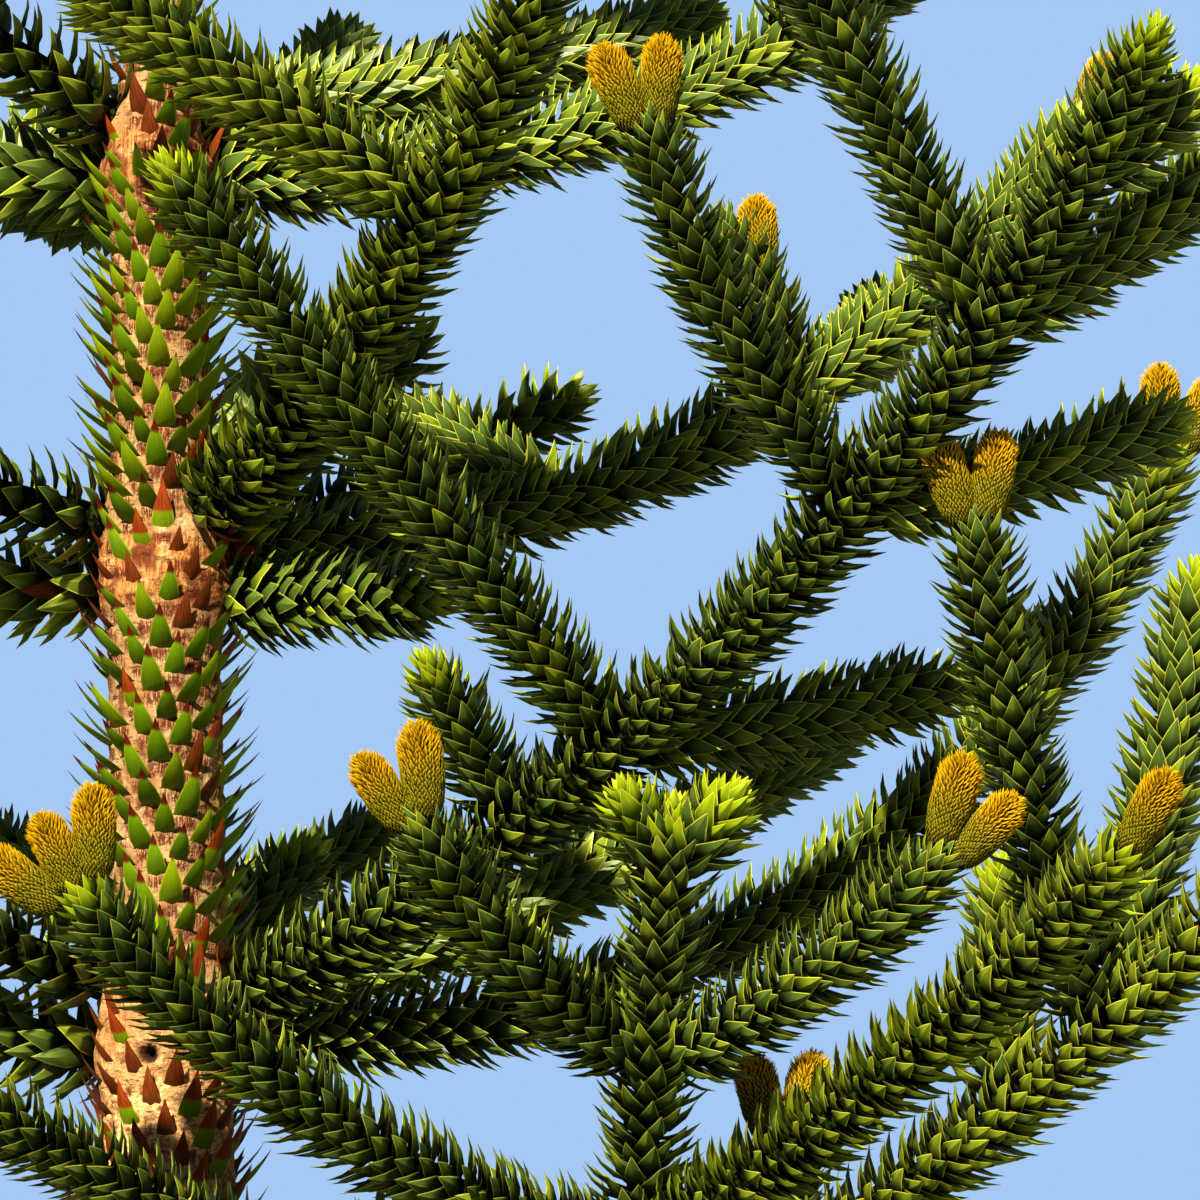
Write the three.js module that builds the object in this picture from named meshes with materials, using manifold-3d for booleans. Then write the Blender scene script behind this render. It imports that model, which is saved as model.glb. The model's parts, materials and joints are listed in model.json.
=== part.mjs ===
// Monkey puzzle tree, whole and rooted. A slightly leaning trunk with a flared foot carries ten
// whorls of boughs. Every bough is a rope of stiff, sharp leaves that forks in pairs and ends in a
// bud or in upright pollen cones.
//
// Millimetres, +Z up. The origin is the middle of the flat cut at ground level. The photograph
// looks along +Y, with +X to its right, so a heading of 0 runs right, 90 away and -90 to the viewer.

import * as THREE from "three";
import { mergeVertices } from "three/addons/utils/BufferGeometryUtils.js";
import Module from "manifold-3d";

const wasm = await Module();
wasm.setup();

// Trunk
const TREE_HEIGHT = 5200;
const TRUNK_LEAN = 85; // how far the tip stands to the left of the foot
const TRUNK_SIDES = 10;
const COLLAR_SWELL = 9; // a whorl's collar stands this much proud of the bark
const COLLAR_HALF = 60; // half the height of a collar
const GAP = 0.3; // clear space between two solids that meet

// Radius of the bark by height: the foot's flare first, then the true taper.
const TRUNK_PROFILE = [
  [0, 172],
  [70, 140],
  [220, 116],
  [700, 104],
  [1500, 95],
  [2400, 84],
  [2900, 70],
  [3400, 62],
  [3900, 52],
  [4060, 36],
  [4600, 24],
  [5000, 16],
];

// Leafy shoots
const STEM_CORE = 27; // corner radius of a shoot's three-sided core
const TIP_CORE = 21;
const ROOT_CORE = 21; // the same core where it is bare, next to the trunk
const FORK_CORE = 23; // and where a fork leaves its stem
const BARE_ROOT = 55; // how far from the bark the first leaves stand
const LEAF_REACH = 52; // leaf points stand this far from the shoot's middle
const LEAF_STEP = 155; // from one tier of three leaves to the next
const RULE_LEAF_STEP = 200; // the same on boughs with seeded forks
const LEAF_LEAN = 30; // how far a leaf's point runs on past its tier
const LEAF_CLEAR = 76; // a leaf nearer than this to another node's shoot is left out
const TRUNK_LEAF = { length: 105, width: 46, thick: 12, lean: 26, step: 205, each: 4 };
const LEADER_LENGTH = 165; // the leafy shoot that tops the trunk

// Pollen cones
const CONE_LENGTH = 95;
const CONE_APART = 27; // between the feet of neighbours
const CONE_SPREAD = 0.68; // how far neighbours in a cluster lean apart, as a slope
const CONE_UPRIGHT = 0.5; // how much straighter they stand than their shoot
const CONE_SIDES = 6;
const CONE_SINK = 14;
const CONE_PROFILE = [[0, -CONE_SINK], [22, 19], [22, 63], [0, CONE_LENGTH]];

// Forks of the boughs that no picture fixes. A pair of numbers is the range of a seeded draw.
const FORK_FIRST = 0.3; // share of the bough's length where its first pair of forks stands
const FORK_STEP = 330; // along the bough, from pair to pair
const FORK_LAST = 130; // no pair nearer the bough's tip
const FORK_ANGLE = [50, 70]; // away from the bough, to either side
const FORK_RISE = [4, 20]; // on top of this share of the bough's own rise
const FORK_RISE_SHARE = 0.6;
const FORK_SHARE = [0.42, 0.56]; // of what is left of the bough, on top of the least length
const FORK_LEAST = 100;
const FORK_LIFT = [12, 30];
const SHOOT_CLEAR = 112; // shoots keep this far apart, middle to middle
const FORK_FREE = 140; // but not this close to where they fork
const LIMB_TO_FORK = 70; // a limb ends this far before the first fork
const CONE_SHARE = 0.12; // share of those tips that carry cones

// How the boughs of one whorl differ.
const WHORL_STEP = [-22, 22];
const WHORL_HEADING = [-8, 8];
const WHORL_RISE = [-4, 4];
const WHORL_LENGTH = [0.94, 1.06];
const WHORL_LIFT = [-4, 6];

const COLOURS = { bark: 0x9b7358, limb: 0x3f5a24, foliage: 0x46662a };

// Whorls: height, then how the boughs that fill it grow.
const WHORLS = {
  top: { height: 4955, boughs: 3, first: 25, length: 290, rise: 38, lift: 20 },
  crown: { height: 4720, boughs: 3, first: -50, length: 600, rise: 36, lift: 30 },
  shoulder: { height: 4370, boughs: 4, first: 12, length: 900, rise: 24, lift: 40 },
  upper: { height: 3960 },
  middle: { height: 3490 },
  lower: { height: 2955 },
  fourth: { height: 2460 },
  fifth: { height: 1980, boughs: 5, first: -60, length: 1560, rise: 2, lift: 30 },
  skirt: { height: 1530, boughs: 5, first: -22, length: 1620, rise: -8, lift: 34 },
  lowest: { height: 1110, boughs: 3, first: -50, length: 1400, rise: -16, lift: 38 },
};

// Boughs that the photograph shows, or whose place it leaves open. A shoot is its heading, its rise
// above level, its length, and how far it turns and lifts by its tip; `at` is its place along the
// shoot that it forks from. `cones` stand on its tip. `limb` is where a main bough ends and its
// leafy mass begins, and `forks: "rule"` adds the seeded forks.
const BOUGHS = [
  {
    name: "main", whorl: "lower", step: 0, limb: 400,
    heading: -19, rise: 22, length: 1620, turn: -24, lift: 34,
    sides: [
      { at: 480, heading: -170, rise: 55, length: 200, lift: 10 },
      { at: 627, heading: -168, rise: 50, length: 800, lift: 2 },
      { at: 627, heading: 22, rise: 8, length: 430, lift: 8 },
      { at: 1010, heading: -160, rise: 46, length: 470, lift: 27, cones: 2 },
      { at: 1010, heading: 25, rise: 8, length: 420, lift: 18 },
      { at: 1255, heading: -170, rise: 63, length: 560 },
      { at: 1255, heading: 20, rise: 30, length: 430, lift: 10 },
      { at: 1440, heading: 10, rise: 30, length: 170, lift: 20 },
    ],
  },
  {
    name: "right_back", whorl: "middle", step: 10, limb: 400,
    heading: 20, rise: 0, length: 1330, lift: 54, cones: 1,
    sides: [
      { at: 480, heading: 140, rise: 28, length: 290 },
      { at: 820, heading: 165, rise: 66, length: 230, cones: 2 },
      { at: 900, heading: 80, rise: 10, length: 340, lift: 20 },
    ],
  },
  {
    name: "near", whorl: "middle", step: 10, limb: 430,
    heading: -40, rise: 28, length: 1000, lift: 44,
    sides: [
      { at: 530, heading: -175, rise: 33, length: 480 },
      { at: 800, heading: -110, rise: 50, length: 260, lift: 20 },
    ],
  },
  { name: "short_right", whorl: "middle", step: -45, heading: -8, rise: -3, length: 320, lift: 5 },
  {
    name: "top_right", whorl: "upper", step: -30,
    heading: 20, rise: 0, length: 1050, lift: 40,
    sides: [{ at: 800, heading: -50, rise: 45, length: 260, lift: 20, cones: 1 }],
  },
  { name: "top_back_right", whorl: "upper", step: 40, heading: 42, rise: 11, length: 900, lift: 10 },
  { name: "top_back", whorl: "upper", step: -15, heading: 72, rise: 16, length: 700, lift: 15 },
  { name: "top_away", whorl: "upper", step: -45, heading: 114, rise: 4, length: 850, lift: 25,
    forks: "rule" },
  { name: "top_left", whorl: "upper", step: 10, heading: -170, rise: 28, length: 820, lift: 20,
    forks: "rule" },
  { name: "top_left_back", whorl: "upper", step: -15, heading: 158, rise: -3, length: 900, lift: 25,
    forks: "rule" },
  { name: "mid_left", whorl: "middle", step: 30, heading: -168, rise: 8, length: 1150, lift: 34,
    forks: "rule" },
  { name: "mid_left_back", whorl: "middle", step: -30, heading: 152, rise: 0, length: 1150, lift: 30,
    forks: "rule" },
  { name: "mid_away", whorl: "middle", step: 5, heading: 86, rise: 6, length: 1100, lift: 30,
    forks: "rule" },
  { name: "low_left", whorl: "lower", step: 30, heading: -168, rise: 18, length: 1300, lift: 28,
    forks: "rule" },
  { name: "low_left_back", whorl: "lower", step: -35, heading: 154, rise: 8, length: 1300, lift: 28,
    forks: "rule" },
  {
    name: "low_away", whorl: "lower", step: -10,
    heading: 96, rise: 8, length: 1250, lift: 26,
    sides: [
      { at: 330, heading: 42, rise: 36, length: 300, lift: 10 },
      { at: 700, heading: 150, rise: 20, length: 420, lift: 20 },
      { at: 760, heading: 35, rise: 10, length: 380, lift: 20 },
    ],
  },
  {
    name: "long_right", whorl: "lower", step: 10, limb: 500,
    heading: 10, rise: -8, length: 1460, lift: 77, cones: 2,
    sides: [
      { at: 1050, heading: 75, rise: 20, length: 330, lift: 20 },
    ],
  },
  { name: "light_right", whorl: "lower", step: 25, heading: 42, rise: 11, length: 1150, lift: 20,
    sides: [{ at: 700, heading: 105, rise: 12, length: 380, lift: 20 }] },
  {
    name: "front", whorl: "fourth", step: 40, limb: 260,
    heading: -34, rise: 10, length: 1370, turn: 2, lift: 32, cones: 1,
    sides: [
      { at: 330, heading: -172, rise: 36, length: 560, lift: -12 },
      { at: 650, heading: -170, rise: 13, length: 720, lift: 38, cones: 3 },
      {
        at: 650, heading: -50, rise: 82, length: 470,
        sides: [
          { at: 195, heading: -165, rise: 30, length: 370, lift: 30, cones: 2 },
          { at: 195, heading: -18, rise: 23, length: 400, lift: 22, cones: 2 },
          { at: 400, heading: 0, rise: 52, length: 115 },
          { at: 400, heading: 180, rise: 62, length: 100 },
        ],
      },
    ],
  },
  {
    name: "right_front", whorl: "fourth", step: -50, limb: 600,
    heading: -14, rise: 13, length: 1450, turn: -8, lift: 32,
    sides: [
      { at: 760, heading: 90, rise: 70, length: 150, cones: 2 },
      { at: 1050, heading: 80, rise: 75, length: 290 },
      { at: 1190, heading: -148, rise: 67, length: 570, lift: 14, cones: 2 },
      { at: 1210, heading: 50, rise: 70, length: 540 },
    ],
  },
  { name: "fourth_right_back", whorl: "fourth", step: 0, heading: 38, rise: -4, length: 1400, lift: 18,
    forks: "rule" },
  { name: "fourth_away", whorl: "fourth", step: 15, heading: 92, rise: 4, length: 1400, lift: 26,
    forks: "rule" },
  { name: "fourth_left_back", whorl: "fourth", step: -15, heading: 150, rise: 4, length: 1400, lift: 26,
    forks: "rule" },
  { name: "fourth_left_front", whorl: "fourth", step: -10, heading: -146, rise: -4, length: 1400,
    lift: 20, forks: "rule" },
  { name: "fourth_near", whorl: "fourth", step: -30, heading: -92, rise: -6, length: 1300, lift: 14,
    forks: "rule" },
];

const LIMBED_WHORL = "fifth"; // its boughs are main boughs too
const RULE_LIMB = 380; // where those boughs end and their masses begin
const PATH_STEPS = 16; // straight pieces in a shoot's middle line
const SEED = 20478;

// A small generator, so that every build draws the same tree.
const DRAW_FACTOR = 48271;
const DRAW_MODULUS = 2147483647;

function makeDraw(seed) {
  let state = seed;
  return ([low, high]) => {
    state = (state * DRAW_FACTOR) % DRAW_MODULUS;
    return low + ((high - low) * state) / DRAW_MODULUS;
  };
}

function conesByDraw(draw) {
  const chance = draw([0, 1]);
  const second = draw([0, 1]);
  if (chance >= CONE_SHARE) return 0;
  return second < 0.5 ? 1 : 2;
}

const radians = THREE.MathUtils.degToRad;

function trunkAxis(height) {
  return new THREE.Vector3(-TRUNK_LEAN * (height / TREE_HEIGHT) ** 3, 0, height);
}

function barkRadius(height) {
  const above = TRUNK_PROFILE.findIndex(([z]) => z > height);
  if (above < 1) return TRUNK_PROFILE.at(above < 0 ? -1 : 0)[1];
  const [lowZ, lowR] = TRUNK_PROFILE[above - 1];
  const [highZ, highR] = TRUNK_PROFILE[above];
  return THREE.MathUtils.mapLinear(height, lowZ, highZ, lowR, highR);
}

// The shoot's middle line, in equal steps, each along the direction at its own middle.
function shootPath(root, { heading, rise, length, turn = 0, lift = 0 }) {
  const points = [root];
  for (let i = 0; i < PATH_STEPS; i += 1) {
    const t = (i + 0.5) / PATH_STEPS;
    const way = direction(heading + turn * t, rise + lift * t);
    points.push(points[i].clone().addScaledVector(way, length / PATH_STEPS));
  }
  return points;
}

function direction(heading, rise) {
  const h = radians(heading);
  const r = radians(rise);
  return new THREE.Vector3(Math.cos(r) * Math.cos(h), Math.cos(r) * Math.sin(h), Math.sin(r));
}

// Where a shoot is at a distance along it, and the way it runs there: along, to its side, and up.
function station(shoot, distance) {
  const t = THREE.MathUtils.clamp(distance / shoot.length, 0, 1);
  const step = Math.min(t * PATH_STEPS, PATH_STEPS - 1e-9);
  const i = Math.floor(step);
  const middle = shoot.points[i].clone().lerp(shoot.points[i + 1], step - i);
  const heading = shoot.heading + (shoot.turn ?? 0) * t;
  const rise = shoot.rise + (shoot.lift ?? 0) * t;
  const along = direction(heading, rise);
  const side = new THREE.Vector3(-Math.sin(radians(heading)), Math.cos(radians(heading)), 0);
  const up = new THREE.Vector3().crossVectors(along, side);
  return { middle, along, side, up, heading, rise };
}

// The plan: every shoot of the tree, in the order that the draws are made.
function planTree() {
  const draw = makeDraw(SEED);
  const boughs = [...BOUGHS, ...fillingBoughs(draw)];
  const leaderFoot = trunkAxis(TREE_HEIGHT - LEADER_LENGTH);
  const leader = { heading: 0, rise: 90, length: LEADER_LENGTH, parent: "trunk", bough: "trunk" };
  const shoots = [{ ...leader, points: shootPath(leaderFoot, leader) }];
  for (const bough of boughs) {
    const height = WHORLS[bough.whorl].height + bough.step;
    addShoot(shoots, bough, trunkAxis(height), bough.name);
  }
  for (const bough of boughs.filter(({ forks }) => forks === "rule")) addForks(shoots, bough, draw);
  return { boughs, shoots };
}

function fillingBoughs(draw) {
  const boughs = [];
  for (const [whorl, rule] of Object.entries(WHORLS)) {
    for (let i = 0; i < (rule.boughs ?? 0); i += 1) {
      boughs.push({
        name: `${whorl}_${i + 1}`,
        whorl,
        step: draw(WHORL_STEP),
        heading: rule.first + (360 / rule.boughs) * i + draw(WHORL_HEADING),
        rise: rule.rise + draw(WHORL_RISE),
        length: rule.length * draw(WHORL_LENGTH),
        lift: rule.lift + draw(WHORL_LIFT),
        cones: conesByDraw(draw),
        limb: whorl === LIMBED_WHORL ? RULE_LIMB : undefined,
        forks: "rule",
      });
    }
  }
  return boughs;
}

function addShoot(shoots, spec, root, bough, parent = null) {
  const shoot = { ...spec, bough, parent, points: shootPath(root, spec) };
  shoot.seeded = spec.forks === "rule" || Boolean(parent?.seeded);
  shoots.push(shoot);
  for (const side of spec.sides ?? []) {
    addShoot(shoots, side, station(shoot, side.at).middle, bough, shoot);
  }
}

// Forks in pairs along a bough, each shorter than what is left of the bough. One that would come
// too near another shoot, the trunk or the ground is left out.
function addForks(shoots, bough, draw) {
  const stem = shoots.find((shoot) => shoot.bough === bough.name && !shoot.parent);
  const first = Math.max(FORK_FIRST * stem.length, (bough.limb ?? 0) + LIMB_TO_FORK);
  for (let at = first; at < stem.length - FORK_LAST; at += FORK_STEP) {
    for (const hand of [-1, 1]) {
      const place = station(stem, at);
      const fork = {
        at,
        heading: place.heading + hand * draw(FORK_ANGLE),
        rise: FORK_RISE_SHARE * place.rise + draw(FORK_RISE),
        length: FORK_LEAST + (stem.length - at) * draw(FORK_SHARE),
        lift: draw(FORK_LIFT),
        cones: conesByDraw(draw),
      };
      if (staysClear(shootPath(place.middle, fork), place.middle, shoots)) {
        addShoot(shoots, fork, place.middle, bough.name, stem);
      }
    }
  }
}

function staysClear(points, root, shoots) {
  return points.every((point) => {
    if (point.distanceTo(root) < FORK_FREE) return true;
    if (point.z < SHOOT_CLEAR) return false;
    if (point.distanceTo(trunkAxis(point.z)) < barkRadius(point.z) + SHOOT_CLEAR / 2) return false;
    return shoots.every((shoot) => distanceToPath(point, shoot.points) > SHOOT_CLEAR);
  });
}

function distanceToPath(point, path) {
  const line = new THREE.Line3();
  const nearest = new THREE.Vector3();
  let least = Infinity;
  for (let i = 0; i + 1 < path.length; i += 1) {
    line.set(path[i], path[i + 1]).closestPointToPoint(point, true, nearest);
    least = Math.min(least, nearest.distanceTo(point));
  }
  return least;
}

// Solids and meshes
function solidFrom(geometry) {
  const bare = geometry.clone();
  bare.deleteAttribute("normal");
  bare.deleteAttribute("uv");
  const merged = mergeVertices(bare, 1e-3);
  return new wasm.Manifold(
    new wasm.Mesh({
      numProp: 3,
      vertProperties: merged.attributes.position.array,
      triVerts: Uint32Array.from(merged.index.array),
    }),
  );
}

function fuse(solids) {
  return solids.reduce((body, solid) => body.add(solid));
}

// The largest body alone: a loose scrap is dropped and a sealed hollow is filled.
function wholeBody(solid) {
  return solid.decompose().reduce((best, piece) => (piece.volume() > best.volume() ? piece : best));
}

function meshFrom(solid, name, colour) {
  const { vertProperties, triVerts } = wholeBody(solid).getMesh();
  const geometry = new THREE.BufferGeometry();
  geometry.setAttribute("position", new THREE.BufferAttribute(vertProperties, 3));
  geometry.setIndex(new THREE.BufferAttribute(triVerts, 1));
  geometry.computeVertexNormals();
  const material = new THREE.MeshStandardMaterial({ color: colour, roughness: 0.75, metalness: 0 });
  const mesh = new THREE.Mesh(geometry, material);
  mesh.name = name;
  return mesh;
}

// The bare trunk, `grown` all round by a small gap where boughs are cut to meet it.
function trunkSolid(grown = 0) {
  const heights = [...TRUNK_PROFILE.map(([z]) => z), TREE_HEIGHT];
  for (const { height } of Object.values(WHORLS)) {
    heights.push(height - COLLAR_HALF, height, height + COLLAR_HALF);
  }
  heights.sort((a, b) => a - b);
  const profile = [new THREE.Vector2(0, -grown)];
  for (const z of heights) {
    const collar = Object.values(WHORLS).some(({ height }) => height === z) ? COLLAR_SWELL : 0;
    const low = z === 0 ? -grown : z;
    profile.push(new THREE.Vector2(barkRadius(z) + collar + grown, low));
  }
  profile.push(new THREE.Vector2(0, TREE_HEIGHT));
  const geometry = new THREE.LatheGeometry(profile, TRUNK_SIDES);
  geometry.rotateX(Math.PI / 2);
  leanWithTrunk(geometry);
  return solidFrom(geometry);
}

function leanWithTrunk(geometry) {
  const { position } = geometry.attributes;
  for (let i = 0; i < position.count; i += 1) {
    position.setX(i, position.getX(i) + trunkAxis(Math.max(0, position.getZ(i))).x);
  }
}

// A stiff leaf of eight faces, its root sunk in the bark and its point standing out and up.
function trunkLeaf(height, angle) {
  const { length, width, thick, lean } = TRUNK_LEAF;
  const leaf = new THREE.OctahedronGeometry(0.5);
  leaf.scale(thick, width, length);
  leaf.rotateY(radians(lean));
  leaf.translate(barkRadius(height) + 0.3 * length * Math.sin(radians(lean)), 0, height);
  leaf.rotateZ(angle);
  const root = trunkAxis(height);
  leaf.translate(root.x, root.y, 0);
  return leaf;
}

function trunkLeaves(shoots) {
  const leaves = [];
  const { length, step, each } = TRUNK_LEAF;
  const first = WHORLS.lowest.height + step / 2;
  for (let tier = 0; first + tier * step < WHORLS.top.height; tier += 1) {
    const height = first + tier * step;
    for (let i = 0; i < each; i += 1) {
      const angle = (2 * Math.PI * (i + (tier % 2) / 2)) / each;
      const leaf = trunkLeaf(height, angle);
      leaf.computeBoundingSphere();
      const clear = shoots.every(
        ({ points }) => distanceToPath(leaf.boundingSphere.center, points) > LEAF_CLEAR + length / 3,
      );
      if (clear) leaves.push(solidFrom(leaf));
    }
  }
  return leaves;
}

// A length of shoot: a three-sided core whose tiers turn by half a side each time, so that every
// tier has three triangles standing on their base, and each of those is drawn out into a leaf.
function leafySleeve(shoot, from, to, others) {
  const tipped = to === shoot.length;
  const firstLeaf = from === 0 ? bareLength(shoot) : from;
  const lastLeaf = tipped ? to - LEAF_LEAN : to;
  const step = shoot.seeded ? RULE_LEAF_STEP : LEAF_STEP;
  const tiers = Math.max(1, Math.round((lastLeaf - firstLeaf) / step));
  const stops = from === 0 ? [0] : [];
  for (let i = 0; i <= tiers; i += 1) stops.push(firstLeaf + (i * (lastLeaf - firstLeaf)) / tiers);

  const points = [];
  const faces = [];
  const put = (distance, radius, ring, j) => {
    const { middle, side, up } = station(shoot, distance);
    const angle = (ring * Math.PI) / 3 + (j * 2 * Math.PI) / 3;
    middle.addScaledVector(side, radius * Math.cos(angle));
    middle.addScaledVector(up, radius * Math.sin(angle));
    return points.push(middle) - 1;
  };
  const corner = (ring, j) => 3 * ring + (j % 3);

  const foot = shoot.parent ? FORK_CORE : STEM_CORE;
  stops.forEach((distance, ring) => {
    const core = THREE.MathUtils.lerp(foot, TIP_CORE, distance / shoot.length);
    for (let j = 0; j < 3; j += 1) put(distance, distance === 0 ? ROOT_CORE : core, ring, j);
  });

  for (let ring = 0; ring + 1 < stops.length; ring += 1) {
    for (let j = 0; j < 3; j += 1) {
      const [a, b, c] = [corner(ring, j), corner(ring, j + 1), corner(ring + 1, j)];
      faces.push([b, corner(ring + 1, j + 1), c]);
      const tip = put(stops[ring + 1] + LEAF_LEAN, LEAF_REACH, ring + 1, j);
      const leafy = stops[ring] >= firstLeaf && leafIsClear(points[tip], others);
      if (leafy) faces.push([a, b, tip], [b, c, tip], [c, a, tip]);
      else faces.push([a, b, c]);
    }
  }

  faces.push([2, 1, 0]);
  const end = corner(stops.length - 1, 0);
  if (tipped) {
    const tip = put(to, 0, 0, 0);
    faces.push([end, end + 1, tip], [end + 1, end + 2, tip], [end + 2, end, tip]);
  } else {
    faces.push([end, end + 1, end + 2]);
  }
  return solidFrom(new THREE.BufferGeometry().setFromPoints(points).setIndex(faces.flat()));
}

// A bough is bare where it leaves the trunk, a fork where it leaves its stem.
function bareLength(shoot) {
  return (shoot.parent ? 0 : barkRadius(shoot.points[0].z)) + BARE_ROOT;
}

function leafIsClear(point, others) {
  const offTrunk = point.distanceTo(trunkAxis(point.z)) > barkRadius(point.z) + LEAF_CLEAR / 2;
  return offTrunk && others.every(({ points }) => distanceToPath(point, points) > LEAF_CLEAR);
}

// Upright pollen cones at a shoot's tip, leaning apart where there are several.
function coneSolids(shoot) {
  const count = shoot.cones ?? 0;
  const profile = CONE_PROFILE.map(([radius, height]) => new THREE.Vector2(radius, height));
  const { middle, along, side } = station(shoot, shoot.length);
  const cones = [];
  for (let i = 0; i < count; i += 1) {
    const place = i - (count - 1) / 2;
    const way = along.clone().addScaledVector(side, place * CONE_SPREAD);
    way.z += CONE_UPRIGHT;
    const turn = new THREE.Quaternion().setFromUnitVectors(new THREE.Vector3(0, 1, 0), way.normalize());
    const foot = middle.clone().addScaledVector(side, place * CONE_APART);
    const cone = new THREE.LatheGeometry(profile, CONE_SIDES).applyQuaternion(turn);
    cones.push(solidFrom(cone.translate(foot.x, foot.y, foot.z)));
  }
  return cones;
}

function buildTree() {
  const tree = new THREE.Group();
  const { boughs, shoots } = planTree();

  const [leader, ...rest] = shoots;
  const trunk = fuse([trunkSolid(), leafySleeve(leader, 0, leader.length, rest), ...trunkLeaves(rest)]);
  tree.add(meshFrom(trunk, "trunk", COLOURS.bark));

  const roundTrunk = trunkSolid(GAP);
  for (const bough of boughs) {
    const own = shoots.filter((shoot) => shoot.bough === bough.name);
    const others = shoots.filter((shoot) => shoot.bough !== bough.name);
    const [stem, ...forks] = own;
    const massFrom = bough.limb ? bough.limb + GAP / 2 : 0;
    if (bough.limb) {
      const limb = leafySleeve(stem, 0, bough.limb - GAP / 2, [...others, ...forks]).subtract(roundTrunk);
      tree.add(meshFrom(limb, `bough_${bough.name}`, COLOURS.limb));
    }
    const mass = fuse([
      leafySleeve(stem, massFrom, stem.length, others),
      ...forks.map((fork) => leafySleeve(fork, 0, fork.length, others)),
      ...own.flatMap(coneSolids),
    ]);
    const cut = bough.limb ? mass : mass.subtract(roundTrunk);
    tree.add(meshFrom(cut, `foliage_${bough.name}`, COLOURS.foliage));
  }
  return tree;
}

export default buildTree();
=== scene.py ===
"""Young monkey puzzle tree, dressed: bark with its relief, living stems, every leaf and every
pollen cone, grown by the rule of the solids and carried on to finer forks."""

import json
from math import atan2, cos, exp, pi, radians, sin

import bmesh
import bpy
import numpy as np
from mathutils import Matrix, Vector, kdtree, noise

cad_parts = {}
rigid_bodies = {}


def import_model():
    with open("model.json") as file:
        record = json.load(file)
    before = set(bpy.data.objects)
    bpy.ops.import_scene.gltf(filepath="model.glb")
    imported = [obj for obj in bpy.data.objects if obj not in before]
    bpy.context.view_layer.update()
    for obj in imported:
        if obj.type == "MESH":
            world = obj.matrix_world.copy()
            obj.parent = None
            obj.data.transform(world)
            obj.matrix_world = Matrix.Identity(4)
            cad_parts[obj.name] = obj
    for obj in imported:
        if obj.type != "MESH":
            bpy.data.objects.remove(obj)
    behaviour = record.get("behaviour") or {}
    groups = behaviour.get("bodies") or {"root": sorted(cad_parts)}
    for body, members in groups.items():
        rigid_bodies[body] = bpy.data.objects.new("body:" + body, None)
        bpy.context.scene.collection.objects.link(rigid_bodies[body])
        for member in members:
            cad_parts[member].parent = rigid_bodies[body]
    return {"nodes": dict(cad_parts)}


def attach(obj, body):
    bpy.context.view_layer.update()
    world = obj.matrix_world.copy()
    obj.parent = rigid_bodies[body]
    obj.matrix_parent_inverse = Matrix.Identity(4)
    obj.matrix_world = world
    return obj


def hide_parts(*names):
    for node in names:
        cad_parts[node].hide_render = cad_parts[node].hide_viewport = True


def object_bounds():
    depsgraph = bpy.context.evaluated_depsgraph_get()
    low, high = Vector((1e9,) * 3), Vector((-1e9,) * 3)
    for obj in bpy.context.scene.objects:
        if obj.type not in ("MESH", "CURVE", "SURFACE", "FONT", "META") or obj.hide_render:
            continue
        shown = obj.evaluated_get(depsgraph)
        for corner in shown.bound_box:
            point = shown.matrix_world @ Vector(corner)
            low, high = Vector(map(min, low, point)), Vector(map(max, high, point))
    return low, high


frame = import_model()
cad_low, cad_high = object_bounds()

MM = 0.001  # the plan below is in millimetres, as the solids' is

# Trunk
TREE_HEIGHT = 5200
TRUNK_LEAN = 85
TRUNK_PROFILE = [
    (0, 172), (70, 140), (220, 116), (700, 104), (1500, 95), (2400, 84), (2900, 70),
    (3400, 62), (3900, 52), (4060, 36), (4600, 24), (5000, 16),
]
LEADER_LENGTH = 165

# Whorls: height, then how the boughs that fill it grow
WHORLS = {
    "top": dict(height=4955, boughs=3, first=25, length=290, rise=38, lift=20),
    "crown": dict(height=4720, boughs=3, first=-50, length=600, rise=36, lift=30),
    "shoulder": dict(height=4370, boughs=4, first=12, length=900, rise=24, lift=40),
    "upper": dict(height=3960),
    "middle": dict(height=3490),
    "lower": dict(height=2955),
    "fourth": dict(height=2460),
    "fifth": dict(height=1980, boughs=5, first=-60, length=1560, rise=2, lift=30, limb=380),
    "skirt": dict(height=1530, boughs=5, first=-22, length=1620, rise=-8, lift=34),
    "lowest": dict(height=1110, boughs=3, first=-50, length=1400, rise=-16, lift=38),
}
WHORL_HEIGHTS = [rule["height"] for rule in WHORLS.values()]


def fork_spec(at, heading, rise, length, lift=0, **more):
    """A fork: how far along its shoot it springs, and how it grows. Its turn and lift are the
    degrees that its heading and its rise gain from root to tip."""
    return dict(at=at, heading=heading, rise=rise, length=length, lift=lift, **more)


def bough_spec(name, whorl, step, heading, rise, length, lift, **more):
    """A bough: how far above its whorl it springs, and how it grows."""
    return dict(name=name, whorl=whorl, step=step, heading=heading, rise=rise, length=length,
                lift=lift, **more)


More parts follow.
